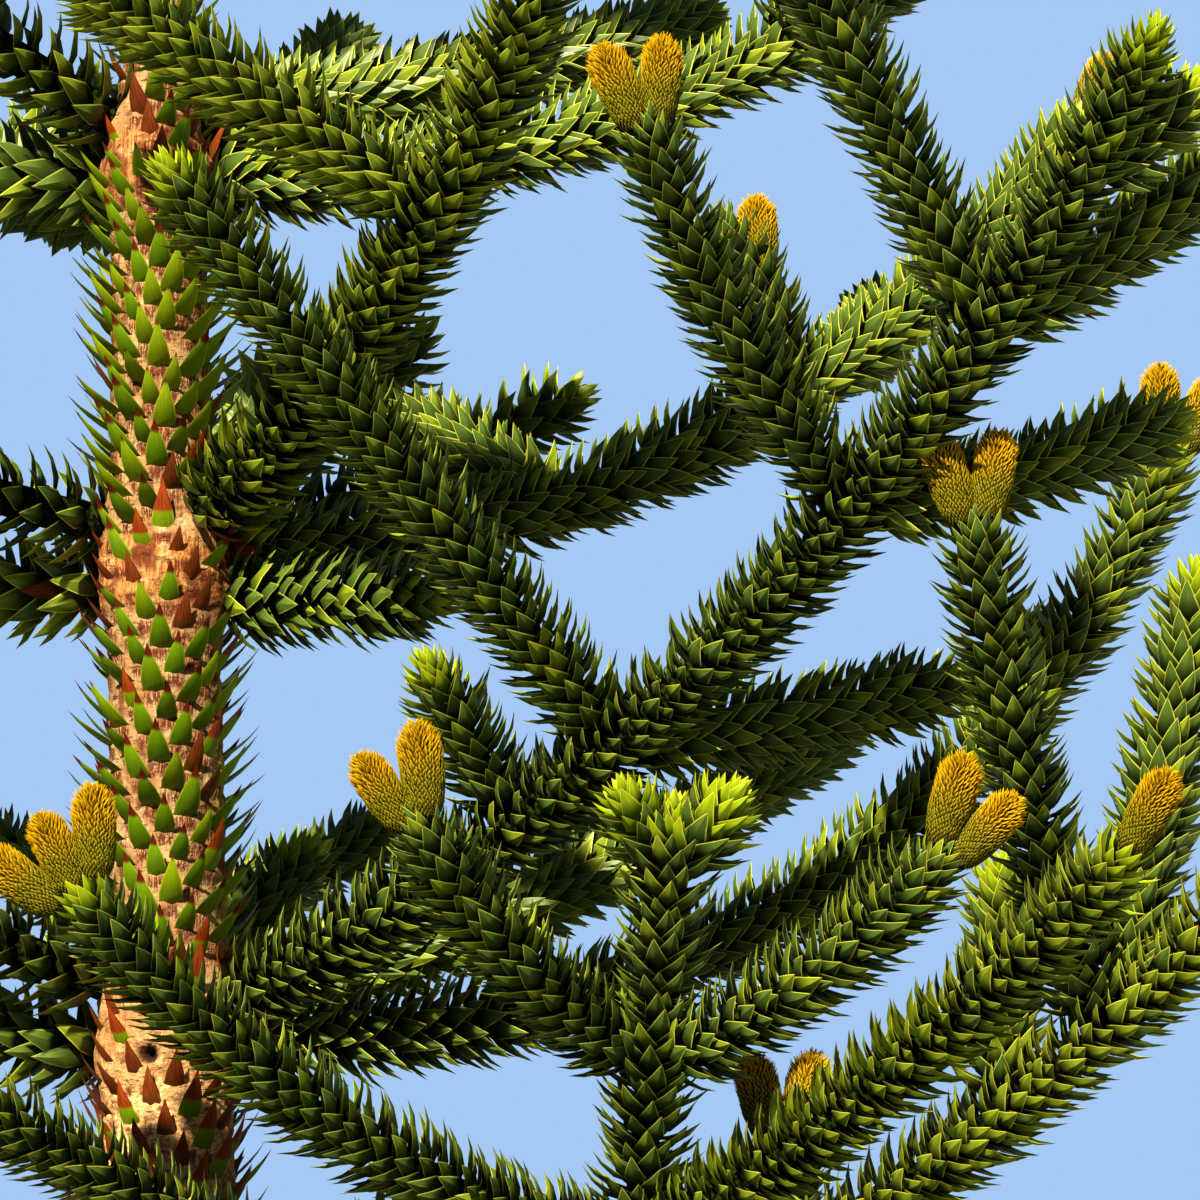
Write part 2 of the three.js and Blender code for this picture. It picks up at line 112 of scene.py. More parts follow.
BOUGHS = [
    bough_spec("main", "lower", 0, -19, 22, 1620, 34, turn=-24, limb=400, sides=[
        fork_spec(480, -170, 55, 200, 10),
        fork_spec(627, -168, 50, 800, 2),
        fork_spec(627, 22, 8, 430, 8),
        fork_spec(1010, -160, 46, 470, 27, cones=2),
        fork_spec(1010, 25, 8, 420, 18),
        fork_spec(1255, -170, 63, 560),
        fork_spec(1255, 20, 30, 430, 10),
        fork_spec(1440, 10, 30, 170, 20),
    ]),
    bough_spec("right_back", "middle", 10, 20, 0, 1330, 54, limb=400, cones=1, sides=[
        fork_spec(480, 140, 28, 290),
        fork_spec(820, 165, 66, 230, cones=2, cones_down=85),
        fork_spec(900, 80, 10, 340, 20),
    ]),
    bough_spec("near", "middle", 10, -40, 28, 1000, 44, limb=430, sides=[
        fork_spec(530, -175, 33, 480),
        fork_spec(800, -110, 50, 260, 20),
    ]),
    bough_spec("short_right", "middle", -45, -8, -3, 320, 5),
    bough_spec("top_right", "upper", -30, 20, 0, 1050, 40, sides=[
        fork_spec(800, -50, 45, 260, 20, cones=1),
    ]),
    bough_spec("top_back_right", "upper", 40, 42, 11, 900, 10),
    bough_spec("top_back", "upper", -15, 72, 16, 700, 15),
    bough_spec("top_away", "upper", -45, 114, 4, 850, 25, forks="rule"),
    bough_spec("top_left", "upper", 10, -170, 28, 820, 20, forks="rule"),
    bough_spec("top_left_back", "upper", -15, 158, -3, 900, 25, forks="rule"),
    bough_spec("mid_left", "middle", 30, -168, 8, 1150, 34, forks="rule"),
    bough_spec("mid_left_back", "middle", -30, 152, 0, 1150, 30, forks="rule"),
    bough_spec("mid_away", "middle", 5, 86, 6, 1100, 30, forks="rule"),
    bough_spec("low_left", "lower", 30, -168, 18, 1300, 28, forks="rule"),
    bough_spec("low_left_back", "lower", -35, 154, 8, 1300, 28, forks="rule"),
    bough_spec("low_away", "lower", -10, 96, 8, 1250, 26, sides=[
        fork_spec(330, 42, 36, 300, 10),
        fork_spec(700, 150, 20, 420, 20),
        fork_spec(760, 35, 10, 380, 20),
    ]),
    bough_spec("long_right", "lower", 10, 10, -8, 1460, 77, limb=500, cones=2, sides=[
        fork_spec(1050, 75, 20, 330, 20),
    ]),
    bough_spec("light_right", "lower", 25, 42, 11, 1150, 20, sides=[
        fork_spec(700, 105, 12, 380, 20),
    ]),
    bough_spec("front", "fourth", 40, -34, 10, 1370, 32, turn=2, limb=260, cones=1, sides=[
        fork_spec(330, -172, 36, 560, -12),
        fork_spec(650, -170, 13, 720, 38, cones=3),
        fork_spec(650, -50, 82, 470, sides=[
            fork_spec(195, -165, 30, 370, 30, cones=2),
            fork_spec(195, -18, 23, 400, 22, cones=2),
            fork_spec(400, 0, 52, 115),
            fork_spec(400, 180, 62, 100),
        ]),
    ]),
    bough_spec("right_front", "fourth", -50, -14, 13, 1450, 32, turn=-8, limb=600, sides=[
        fork_spec(760, 90, 70, 150, cones=2),
        fork_spec(1050, 80, 75, 290),
        fork_spec(1190, -148, 67, 570, 14, cones=2),
        fork_spec(1210, 50, 70, 540),
    ]),
    bough_spec("fourth_right_back", "fourth", 0, 38, -4, 1400, 18, forks="rule"),
    bough_spec("fourth_away", "fourth", 15, 92, 4, 1400, 26, forks="rule"),
    bough_spec("fourth_left_back", "fourth", -15, 150, 4, 1400, 26, forks="rule"),
    bough_spec("fourth_left_front", "fourth", -10, -146, -4, 1400, 20, forks="rule"),
    bough_spec("fourth_near", "fourth", -30, -92, -6, 1300, 14, forks="rule"),
]

# Forks and whorls that no picture fixes. A pair is the range of a seeded draw. A fork's length is
# the least one and a share of its shoot's length past it.
FORKS = dict(angle=(50, 70), rise_share=0.6, least=100, share=(0.42, 0.56))
FORK_RISE = (4, 20)
FORK_LIFT = (12, 30)
FORK_FIRST = 0.3  # share of the bough before its first pair of forks
FORK_STEP = 330
FORK_LAST = 130
SHOOT_CLEAR = 112
FORK_FREE = 140
LIMB_TO_FORK = 70
CONE_SHARE = 0.12
WHORL_STEP = (-22, 22)
WHORL_HEADING = (-8, 8)
WHORL_RISE = (-4, 4)
WHORL_LENGTH = (0.94, 1.06)
WHORL_LIFT = (-4, 6)
PATH_STEPS = 16
SEED = 20478
DRAW_FACTOR = 48271
DRAW_MODULUS = 2147483647

# Finer forks on the seeded shoots, with the reach of the solids as their limit
FINE_FORKS = dict(angle=(42, 58), rise_share=0.7, least=80, share=(0.34, 0.46))
FINE_PLACES = (0.42, 0.72)  # along the shoot
FINE_LEAST = 330  # a shoot shorter than this has none
FINE_CLEAR = 96
FINE_MARGIN = 40  # inside the box of the solids
FINE_UNSEEN = 60  # picture points outside the picture

# Stems
STEM_SIDES = 8
STEM_STEP = 30
STEM_FOOT = 22
FORK_FOOT = 16
STEM_TIP = 11
STEM_SHORT = 6  # of the shoot's tip
STEM_CLOSING = 40  # over which the stem's end rounds off
STEM_KNOBS = 0.05

# Leaves, in millimetres and degrees. Widths are (place along the leaf, share of the half width).
LEAF_LENGTH = 57
LEAF_HALF_WIDTH = 12.2
LEAF_WIDTHS = ((0, 0.82), (0.34, 1.0), (0.7, 0.56), (1, 0))
LEAN_WIDTHS = ((0, 0.82), (0.5, 0.95), (1, 0))
LEAF_THICK = 2.6
LEAF_TROUGH = 0.24  # how far the edges rise over the keel, as a share of the half width
LEAF_FOOT_ANGLE = 76  # off the shoot's axis, where the leaf springs
LEAF_TIP_ANGLE = 33  # and at its point
LEAF_BEND = 1.15  # above 1, the outer half bends most
LEAF_CREASE = 40  # a sharper edge than this shows as an edge
LEAF_PITCH = 1.6  # along the shoot, from leaf to leaf
SEEDED_PITCH = 3.4  # where the leaves are a little larger, as the count needs
SEEDED_SIZE = 1.12
LEAF_SCALE = {"near": 1.08, "short_right": 1.05, "front": 1.02}
LEAF_LIFT = 9  # leaves on a shoot's upper side stand more open than those under it
LEAF_SUNK = 3  # the foot in the stem
LEAF_START = 22  # along a fork, and past the bark on a bough
BOUGH_LEAF_START = 8
OPENING_SPREAD = 5
SIZE_SPREAD = 0.06
TURN_SPREAD = 0.06
ANY_TURN = (0, 6.28)  # radians
GOLDEN_TURN = radians(137.508)
YEAR_WAVE = 290  # a year's growth, with a few smaller leaves where it ends
YEAR_END = 0.93
YEAR_SMALLER = 0.1
BUD_PITCH = 1.3
BUD_LENGTH = 62  # the closing rosette at a shoot's tip
BUD_SIZE = 0.5
BUD_CLOSING = 38
BUD_NARROWING = 0.75
LEAN_UNSEEN = 40  # picture points outside the picture: past them, leaves have fewer faces
YOUNG_LENGTH = 160  # a placed shoot shorter than this is all new leaves
MIXED_SHARE = 0.16  # leaves of a second colour on each shoot
OLD_SHARE = 0.22  # dead leaves at a bough's root
OLD_REACH = 16

# Trunk leaves: a long blade with a frilled foot, and tables of what is at each height
BLADE_LENGTH = 68
BLADE_HALF_WIDTH = 13
BLADE_FOOT_ANGLE = 56
BLADE_TIP_ANGLE = 36
BLADE_WIDTHS = ((0, 1.14), (0.09, 0.93), (0.25, 1.0), (0.5, 0.8), (0.74, 0.4), (1, 0))
BLADE_TROUGH = 0.1
BLADE_AREA = [  # the bark that each leaf has
    (700, 4800), (2450, 2400), (2700, 1300), (2960, 1000), (3500, 900), (3620, 740), (4200, 620),
]
BLADE_SIZE = [(700, 0.7), (2000, 1.0), (4600, 0.95), (5000, 0.75)]
BLADES_MOSSY = [(2500, 0.9), (3450, 0.8), (3650, 0.3)]
BLADES_DYING = [
    (1500, 1.0), (2500, 0.95), (2960, 0.95), (3050, 0.2), (3450, 0.2), (3600, 0.04), (4400, 0.02),
]
BLADES_DEAD = [(1500, 0.85), (2500, 0.7), (2960, 0.6), (3050, 0.03), (3450, 0.05), (3600, 0.02)]
WHORL_DYING = 0.75
WHORL_DEAD = 0.5
DYING_BELOW = 15
DYING_REACH = 55
DEAD_DROOP = 12
DEAD_SIZE = 0.85
BLADES_KEPT = 0.96
ROOT_FREE = 38
HOLE_FREE = 24
KNOT_HOLE = (-15, 2926)  # the small hole below a whorl, painted near black inside as shade: to the side and up
HOLE_DEPTH = 20
HOLE_REACH = 8.5
HOLE_RIM = 3.5

# Cones
CONE_LENGTH = 95
CONE_RADIUS = 23.5
CONE_GIRTH = ((0, 0.6), (0.12, 0.84), (0.35, 1), (0.62, 0.98), (0.8, 0.82), (0.92, 0.55), (1, 0.15))
CONE_ROWS = 12
CONE_SIDES = 14
CONE_SCALES = 860
SCALE_WIDE = 2.2
SCALE_LENGTH = ((0, 4.5), (0.45, 5.5), (0.75, 9), (1, 10))
SCALE_SPREAD = ((0, 0.4), (0.55, 0.55), (0.8, 1), (1, 0.7))
CONE_APART = 27
CONE_SPREAD = 0.68
CONE_UPRIGHT = 0.5

# Bark, in millimetres. A grain is how wide and how high its marks are.
BARK_STEPS = 84
BARK_ROWS = ((0, 2650, 11), (2650, 4250, 4.5), (4250, TREE_HEIGHT - 60, 9))
PLATE_GRAIN = (13, 34)
FIBRE_GRAIN = (3.4, 48)
RIDGE_GRAIN = (7, 15)
CRACK_GRAIN = (26, 8)
RING_GRAIN = (2.1, 7)
RIDGE_DEPTH = 0.3
CRACK_DEPTH = 0.12
COLLAR_BELOW = 18
COLLAR_REACH = 52
COLLAR_SWELL = 13
FOOT_LOBES = 5
FOOT_REACH = 120
LOBE_SWELL = 14
FOOT_SHRINK = 8
ROOT_CUSHION = 9
CUSHION_REACH = 34
LEAF_PAD = 2.6

# Camera and light
CAMERA_AT = (0.468, -7.427, 2.401)
CAMERA_TILT = 8
CAMERA_LENS = 199.1
SENSOR = 36
FAR = 1000
PICTURE = 1200
FLOOR_REACH = 400
LAMPS = {  # the way it shines, its strength, its size in degrees and its colour
    "key": ((0.284, 0.779, -0.559), 8.4, 2, (1.0, 0.93, 0.74)),
    "fill": ((-0.75, 0.5, -0.25), 0.15, 40, (0.9, 0.95, 1.0)),
}


def outwards(angle):
    """The level way out from the trunk's axis at an angle in radians."""
    return np.stack([np.cos(angle), np.sin(angle), np.zeros_like(angle)], -1)


def sideways(angle):
    return np.stack([-np.sin(angle), np.cos(angle), np.zeros_like(angle)], -1)


def read_table(table, place):
    return np.interp(place, *zip(*table))


def trunk_axis(height):
    return np.array([-TRUNK_LEAN * (height / TREE_HEIGHT) ** 3, 0.0, height])


def bark_radius(height):
    return float(read_table(TRUNK_PROFILE, height))


def make_draw(seed):
    """The solids' own generator, so that both draw the same tree."""
    def draw(low, high):
        nonlocal seed
        seed = seed * DRAW_FACTOR % DRAW_MODULUS
        return low + (high - low) * seed / DRAW_MODULUS

    return draw


def cones_by_draw(draw):
    chance, second = draw(0, 1), draw(0, 1)
    return 0 if chance >= CONE_SHARE else 1 if second < 0.5 else 2


class Shoot:
    """One leafy shoot: where it runs, its bough and the shoot that it forks from."""

    def __init__(self, spec, root, bough, parent=None):
        self.heading = spec["heading"]
        self.rise = spec["rise"]
        self.turn = spec.get("turn", 0)
        self.lift = spec["lift"]
        self.length = spec["length"]
        self.cones = spec.get("cones", 0)
        self.cones_down = spec.get("cones_down", 0)
        self.bough = bough
        self.name = bough["name"]
        self.parent = parent
        self.seeded = spec.get("forks") == "rule" or bool(parent and parent.seeded)
        self.points = self.path(root)

    def ways(self, t):
        h, r = np.radians(self.heading + self.turn * t), np.radians(self.rise + self.lift * t)
        return np.stack([np.cos(r) * np.cos(h), np.cos(r) * np.sin(h), np.sin(r)], -1)

    def path(self, root):
        points = [root]
        for way in self.ways((np.arange(PATH_STEPS) + 0.5) / PATH_STEPS):
            points.append(points[-1] + way * self.length / PATH_STEPS)
        return np.array(points)

    def station(self, distance):
        """Middle, along, side and up of the shoot at each of these distances."""
        t = np.clip(np.atleast_1d(distance) / self.length, 0, 1)
        step = np.minimum(t * PATH_STEPS, PATH_STEPS - 1e-9)
        i = step.astype(int)
        share = (step - i)[:, None]
        middle = self.points[i] * (1 - share) + self.points[i + 1] * share
        along, side = self.ways(t), sideways(np.radians(self.heading + self.turn * t))
        return middle, along, side, np.cross(along, side)

    def place(self, distance):
        return self.station(distance)[0][0]

    def stem_radius(self, distance):
        foot = FORK_FOOT if self.parent else STEM_FOOT
        t = np.clip(np.asarray(distance) / self.length, 0, 1)
        return foot + (STEM_TIP - foot) * t


def add_shoot(shoots, spec, root, bough, parent=None):
    shoot = Shoot(spec, root, bough, parent)
    shoots.append(shoot)
    for side in spec.get("sides", ()):
        add_shoot(shoots, side, shoot.place(side["at"]), bough, shoot)


def filling_boughs(draw):
    boughs = []
    for whorl, rule in WHORLS.items():
        for i in range(rule.get("boughs", 0)):
            step = draw(*WHORL_STEP)
            heading = rule["first"] + 360 / rule["boughs"] * i + draw(*WHORL_HEADING)
            rise = rule["rise"] + draw(*WHORL_RISE)
            length = rule["length"] * draw(*WHORL_LENGTH)
            lift = rule["lift"] + draw(*WHORL_LIFT)
            cones = cones_by_draw(draw)
            boughs.append(bough_spec(f"{whorl}_{i + 1}", whorl, step, heading, rise, length, lift,
                                     limb=rule.get("limb", 0), cones=cones, forks="rule"))
    return boughs


def distance_to_paths(points, paths):
    """How far each point is from the nearest of all these shoots' middle lines."""
    starts = np.concatenate([path[:-1] for path in paths])
    runs = np.concatenate([np.diff(path, axis=0) for path in paths])
    apart = points[:, None] - starts
    t = np.clip((apart * runs).sum(-1) / (runs * runs).sum(-1), 0, 1)
    return np.linalg.norm(apart - runs * t[..., None], axis=-1).min(1)


def stays_clear(fork, shoots, clear):
    """Whether a fork, past its own root, keeps off the ground, the trunk and these shoots."""
    points = fork.points
    points = points[np.linalg.norm(points - points[0], axis=1) >= FORK_FREE]
    if not len(points):
        return True
    if points[:, 2].min() < clear:
        return False
    for point in points:
        if np.linalg.norm(point - trunk_axis(point[2])) < bark_radius(point[2]) + clear / 2:
            return False
    return distance_to_paths(points, [shoot.points for shoot in shoots]).min() > clear


def fork_pair(stem, at, draw, rule, with_cones):
    """A fork to each side of a shoot, one after the other, as the draws have it."""
    t = at / stem.length
    for hand in (-1, 1):
        spec = fork_spec(
            at,
            stem.heading + stem.turn * t + hand * draw(*rule["angle"]),
            rule["rise_share"] * (stem.rise + stem.lift * t) + draw(*FORK_RISE),
            rule["least"] + (stem.length - at) * draw(*rule["share"]),
            draw(*FORK_LIFT),
            cones=cones_by_draw(draw) if with_cones else 0,
        )
        yield Shoot(spec, stem.place(at), stem.bough, stem)


def add_forks(shoots, stem, draw):
    """Forks in pairs along a bough, as in the solids."""
    at = max(FORK_FIRST * stem.length, stem.bough.get("limb", 0) + LIMB_TO_FORK)
    while at < stem.length - FORK_LAST:
        for fork in fork_pair(stem, at, draw, FORKS, True):
            if stays_clear(fork, shoots, SHOOT_CLEAR):
                shoots.append(fork)
        at += FORK_STEP


def plan_tree():
    """The shoots of the solids, in the order that the draws are made."""
    draw = make_draw(SEED)
    boughs = BOUGHS + filling_boughs(draw)
    trunk = dict(name="trunk", whorl="top")
    leader = dict(heading=0, rise=90, lift=0, length=LEADER_LENGTH)
    shoots = [Shoot(leader, trunk_axis(TREE_HEIGHT - LEADER_LENGTH), trunk)]
    for bough in boughs:
        height = WHORLS[bough["whorl"]]["height"] + bough["step"]
        add_shoot(shoots, bough, trunk_axis(height), bough)
    for stem in [shoot for shoot in shoots if shoot.bough.get("forks") == "rule"]:
        add_forks(shoots, stem, draw)
    return shoots, draw


def in_picture(points, border):
    """Which of these points, in millimetres, the photograph's frame takes in with this border."""
    away = points * MM - np.array(CAMERA_AT)
    tilt = radians(CAMERA_TILT)
    deep = away[:, 1] * cos(tilt) + away[:, 2] * sin(tilt)
    high = away[:, 2] * cos(tilt) - away[:, 1] * sin(tilt)
    half = SENSOR / CAMERA_LENS / 2 * (1 + 2 * border / PICTURE)
    return (np.abs(away[:, 0]) < half * deep) & (np.abs(high) < half * deep)


def add_fine_forks(shoots, draw):
    """Finer forks on the seeded shoots, within the solids' reach, clear of their neighbours and
    out of the open sky that the photograph shows."""
    low = np.array(cad_low) / MM + FINE_MARGIN
    high = np.array(cad_high) / MM - FINE_MARGIN
    long_forks = [s for s in shoots if s.seeded and s.parent and s.length >= FINE_LEAST]
    for shoot in long_forks:
        others = [other for other in shoots if other is not shoot]
        for share in FINE_PLACES:
            for fork in fork_pair(shoot, share * shoot.length, draw, FINE_FORKS, False):
                inside = (fork.points > low).all() and (fork.points < high).all()
                hidden = not in_picture(fork.points, FINE_UNSEEN).any()
                if inside and hidden and stays_clear(fork, others, FINE_CLEAR):
                    shoots.append(fork)
                    others.append(fork)


def math_node(operation, swapped=False):
    """An operator of Value that adds one Math node."""
    def work(self, other=0.0):
        first, second = (other, self) if swapped else (self, other)
        node = self.finish.node("ShaderNodeMath", dict(operation=operation), {0: first, 1: second})
        return Value(self.finish, node.outputs[0])

    return work


class Value:
    """A number that changes over a surface. Sums and products of it add Math nodes."""

    def __init__(self, finish, socket_and_shadow):
        self.finish = finish
        self.socket_and_shadow = socket_and_shadow

    __add__ = __radd__ = math_node("ADD")
    __mul__ = __rmul__ = math_node("MULTIPLY")
    __sub__ = math_node("SUBTRACT")
    __rsub__ = math_node("SUBTRACT", swapped=True)
    __truediv__ = math_node("DIVIDE")
    __mod__ = math_node("FLOORED_MODULO")
    __gt__ = math_node("GREATER_THAN")
    __abs__ = math_node("ABSOLUTE")

    def smooth(self, low, high):
        """0 below low, 1 above high, and soft between."""
        settings = dict(interpolation_type="SMOOTHSTEP")
        node = self.finish.node("ShaderNodeMapRange", settings, {0: self, 1: low, 2: high})
        return Value(self.finish, node.outputs[0])


class Finish:
    """One material: its constants are set on the shader, and what varies is linked to it."""

    def __init__(self, name, roughness, specular):
        self.material = bpy.data.materials.new(name)
        self.material.use_nodes = True
        self.tree = self.material.node_tree
        self.shader = self.tree.nodes["Principled BSDF"]
        self.shader.inputs["Roughness"].default_value = roughness
        self.shader.inputs["Specular IOR Level"].default_value = specular

    def node(self, kind, settings=None, values=None):
        node = self.tree.nodes.new(kind)
        for name, value in (settings or {}).items():
            setattr(node, name, value)
        for place, value in (values or {}).items():
            self.feed(node.inputs[place], value)
        return node

    def feed(self, socket_and_shadow, value):
        if isinstance(value, Value):
            value = value.socket_and_shadow
        if isinstance(value, bpy.types.NodeSocket):
            self.tree.links.new(value, socket_and_shadow)
        else:
            socket_and_shadow.default_value = value

    def blend(self, share, first, second, how="MIX"):
        """A colour between two, by a share."""
        colours = {6: opaque(first), 7: opaque(second), 0: share}
        node = self.node("ShaderNodeMix", dict(data_type="RGBA", blend_type=how), colours)
        return node.outputs[2]

    def dulled(self, colour, by):
        return self.blend(1.0, colour, by, "MULTIPLY")

    def scatter(self, place, scale, detail=3.0, rough=0.5, stretch=None):
        """Soft random patches, between 0 and 1, as they are or drawn out."""
        if stretch:
            node = self.node("ShaderNodeMapping", {}, {"Vector": place, "Scale": stretch})
            place = node.outputs[0]
        values = {"Vector": place, "Scale": scale, "Detail": detail, "Roughness": rough}
        return Value(self, self.node("ShaderNodeTexNoise", {}, values).outputs[0])

    def object_place(self):
        return self.node("ShaderNodeTexCoord").outputs["Object"]

    def parts(self, place):
        node = self.node("ShaderNodeSeparateXYZ", {}, {0: place})
        return [Value(self, part) for part in node.outputs]

    def map_place(self):
        return self.parts(self.node("ShaderNodeUVMap", dict(uv_map=MAP)).outputs[0])[:2]

    def carried(self, name):
        node = self.node("ShaderNodeAttribute", dict(attribute_name=name))
        return Value(self, node.outputs["Fac"])

    def colour(self, value):
        self.feed(self.shader.inputs["Base Color"], opaque(value))


def opaque(colour):
    return (*colour, 1.0) if isinstance(colour, tuple) else colour


# Leaf kinds: their places on the leaves' map, and their colours
MAP = "OFBake"  # the leaves' own map: every leaf of a kind lies on the same patch
PATCH_FIRST = 0.02
PATCH_STEP = 0.12
PATCH_WIDE = 0.09
PATCH_HIGH = 0.2
UNDERSIDE = 0.5

# on the shoots' kinds the underside is a little darker and bluer: partly its own tone, partly
# painted shade and a painted sheen of sky
LEAF_KINDS = {  # face, underside, edge and point
    "deep": ((0.14, 0.21, 0.026), (0.12, 0.18, 0.032), (0.66, 0.68, 0.08), (0.34, 0.24, 0.04)),
    "olive": ((0.34, 0.41, 0.02), (0.27, 0.33, 0.026), (0.78, 0.78, 0.09), (0.42, 0.27, 0.04)),
    "soft": ((0.15, 0.21, 0.03), (0.13, 0.19, 0.03), (0.34, 0.4, 0.07), (0.42, 0.36, 0.07)),
    "fresh": ((0.42, 0.52, 0.01), (0.36, 0.46, 0.012), (0.75, 0.7, 0.04), (0.6, 0.45, 0.05)),
    "dry": ((0.26, 0.085, 0.016), (0.24, 0.08, 0.016), (0.36, 0.17, 0.06), (0.22, 0.05, 0.01)),
    "trunk": ((0.4, 0.52, 0.008), (0.4, 0.52, 0.008), (0.62, 0.68, 0.03), (0.2, 0.05, 0.016)),
    "moss": ((0.26, 0.42, 0.006), (0.26, 0.42, 0.008), (0.5, 0.55, 0.03), (0.16, 0.018, 0.008)),
    "rust": ((0.32, 0.46, 0.008), (0.32, 0.46, 0.008), (0.5, 0.5, 0.04), (0.34, 0.06, 0.009)),
}
KIND = {name: number for number, name in enumerate(LEAF_KINDS)}
POINT_FROM = {"soft": 0.92, "dry": 0.3, "trunk": 0.88, "moss": 0.74, "rust": 0.42}
GREEN_POINT_FROM = 0.93  # along the leaf, on the other kinds
# how strong the painted shade is at the root of each kind of leaf, where the leaves around it would
# shade it
ROOT_PAINTED_SHADE = {"deep": 0.95, "olive": 0.95, "soft": 0.65, "fresh": 0.65}
BLADE_ROOT_PAINTED_SHADE = 0.4  # painted shade at the root of the trunk's leaves


def leaf_finish(name):
    """Stiff, half glossy leaf with a dark root of painted shade, a pale edge, faint veins and a
    hard point.
    """
    face, underside, rim, point = LEAF_KINDS[name]
    point_from = POINT_FROM.get(name, GREEN_POINT_FROM)
    finish = Finish(f"leaf_{name}", roughness=0.42, specular=0.3)
    blend = finish.blend
    x, y = finish.map_place()
    across = (x - (PATCH_FIRST + PATCH_STEP * KIND[name])) / PATCH_WIDE
    along = (y % UNDERSIDE - PATCH_FIRST) / PATCH_HIGH
    place = finish.node("ShaderNodeCombineXYZ", {}, {0: across * 16, 1: along * 2.2}).outputs[0]
    veins = finish.scatter(place, 1.0, 2.0)
    # the underside is darker and bluer than the face: its own faintly glaucous tone, with painted
    # shade of the side turned from the sun and a painted bluish sheen of sky
    green = blend(y > UNDERSIDE, face, underside)
    green = blend(veins * 1.6 - 0.3, finish.dulled(green, (0.55, 0.6, 0.5)), green)
    # painted shade: the leaf darkens towards its root, where its neighbours would shade it
    painted_root_shade = (1 - along).smooth(0.25, 0.82) * ROOT_PAINTED_SHADE.get(name, BLADE_ROOT_PAINTED_SHADE)
    green = blend(painted_root_shade, green, finish.dulled(green, (0.14, 0.18, 0.2)))
    edge = abs(across * 2 - 1).smooth(0.84, 0.96) * (along.smooth(0.05, 0.4) * 0.85)
    green = blend(edge, green, rim)
    browned = (along + (veins - 0.5) * 0.12).smooth(point_from - 0.03, point_from + 0.05)
    brown = blend(veins.smooth(0.3, 0.6), finish.dulled(point, (0.35, 0.3, 0.3)), point)
    finish.colour(blend(browned, green, brown))
    return finish.material


def leaf_shape(stations, length=LEAF_LENGTH, half_width=LEAF_HALF_WIDTH, foot=LEAF_FOOT_ANGLE,
               tip=LEAF_TIP_ANGLE, widths=LEAF_WIDTHS, trough=LEAF_TROUGH):
    """A keeled blade, curved up towards the shoot's tip and closed all round. Its points are along
    the shoot, out from it and around it, and it has a face above and one below its keel."""
    points, corners, triangles, rows = [], [], [], []
    along, out, last = 0.0, 0.0, 0.0

    def lean(s):
        return radians(foot + (tip - foot) * s**LEAF_BEND)

    for s in stations:
        angle = lean((s + last) / 2)
        along += (s - last) * length * cos(angle)
        out += (s - last) * length * sin(angle)
        last = s
        inner = np.array([sin(lean(s)), -cos(lean(s)), 0])
        wide = half_width * float(read_table(widths, s))
        middle = np.array([along, out, 0.0])
        if wide == 0:
            rows.append([len(points)] * 4)
            points.append(middle)
            continue
        raised = middle + inner * trough * wide
        edge = np.array([0, 0, wide])
        first = len(points)
        points += [raised - edge, middle, raised + edge]
        if s:
            points.append(middle - inner * (LEAF_THICK * wide / half_width))
        rows.append([first, first + 1, first + 2, first + 3 if s else first + 1])

    for (s0, row0), (s1, row1) in zip(zip(stations, rows), zip(stations[1:], rows[1:])):
        for below in (0, 1):
            keel0, keel1 = (row0[3], row1[3]) if below else (row0[1], row1[1])
            quads = [
                ((row0[0], s0, 0), (row1[0], s1, 0), (keel1, s1, 0.5), (keel0, s0, 0.5)),
                ((keel0, s0, 0.5), (keel1, s1, 0.5), (row1[2], s1, 1), (row0[2], s0, 1)),
            ]
            for side, quad in enumerate(quads):
                if row1[0] == row1[1]:
                    faces = [(quad[0], (row1[0], s1, side), quad[3])]
                else:
                    faces = [(quad[0], quad[1], quad[2]), (quad[0], quad[2], quad[3])]
                for face in faces:
                    for i, s, x in reversed(face) if below else face:
                        triangles.append(i)
                        corners.append((x * PATCH_WIDE,
                                        PATCH_FIRST + s * PATCH_HIGH + below * UNDERSIDE))
    return np.array(points), np.array(triangles).reshape(-1, 3), np.array(corners)


FULL_LEAF = leaf_shape((0, 0.34, 0.7, 1))
LEAN_LEAF = leaf_shape((0, 0.5, 1), widths=LEAN_WIDTHS)
TRUNK_BLADE = leaf_shape((0, 0.09, 0.25, 0.5, 0.74, 1), BLADE_LENGTH, BLADE_HALF_WIDTH,
                         BLADE_FOOT_ANGLE, BLADE_TIP_ANGLE, BLADE_WIDTHS, BLADE_TROUGH)


class Leaves:
    """Leaves that are placed many at a time and joined into one mesh."""

    def __init__(self):
        self.blocks = []

    def add(self, shape, base, along, out, around, size, opening, kind):
        """Leaves on their bases, each turned outwards by its opening."""
        points, triangles, corners = shape
        if not len(base):
            return
        c, s = np.cos(opening)[:, None], np.sin(opening)[:, None]
        a = (points[:, 0] * c - points[:, 1] * s) * size[:, None]
        r = (points[:, 0] * s + points[:, 1] * c) * size[:, None]
        w = points[:, 2] * size[:, None]
        placed = base[:, None]
        for amount, way in ((a, along), (r, out), (w, around)):
            placed = placed + amount[..., None] * way[:, None]
        count = len(base)
        faces = triangles + (np.arange(count) * len(points))[:, None, None]
        uv = np.tile(corners, (count, 1, 1))
        uv[..., 0] += (PATCH_FIRST + PATCH_STEP * kind)[:, None]
        kinds = np.repeat(kind, len(triangles))
        self.blocks.append((placed.reshape(-1, 3), faces.reshape(-1, 3), uv.reshape(-1, 2), kinds))

    def joined(self, name, finishes):
        points, faces, uv, kinds = zip(*self.blocks)
        kinds = np.concatenate(kinds)
        used = sorted(set(kinds))
        return joined_mesh(name, points, faces, [finishes[i] for i in used], np.concatenate(uv),
                           np.searchsorted(used, kinds))


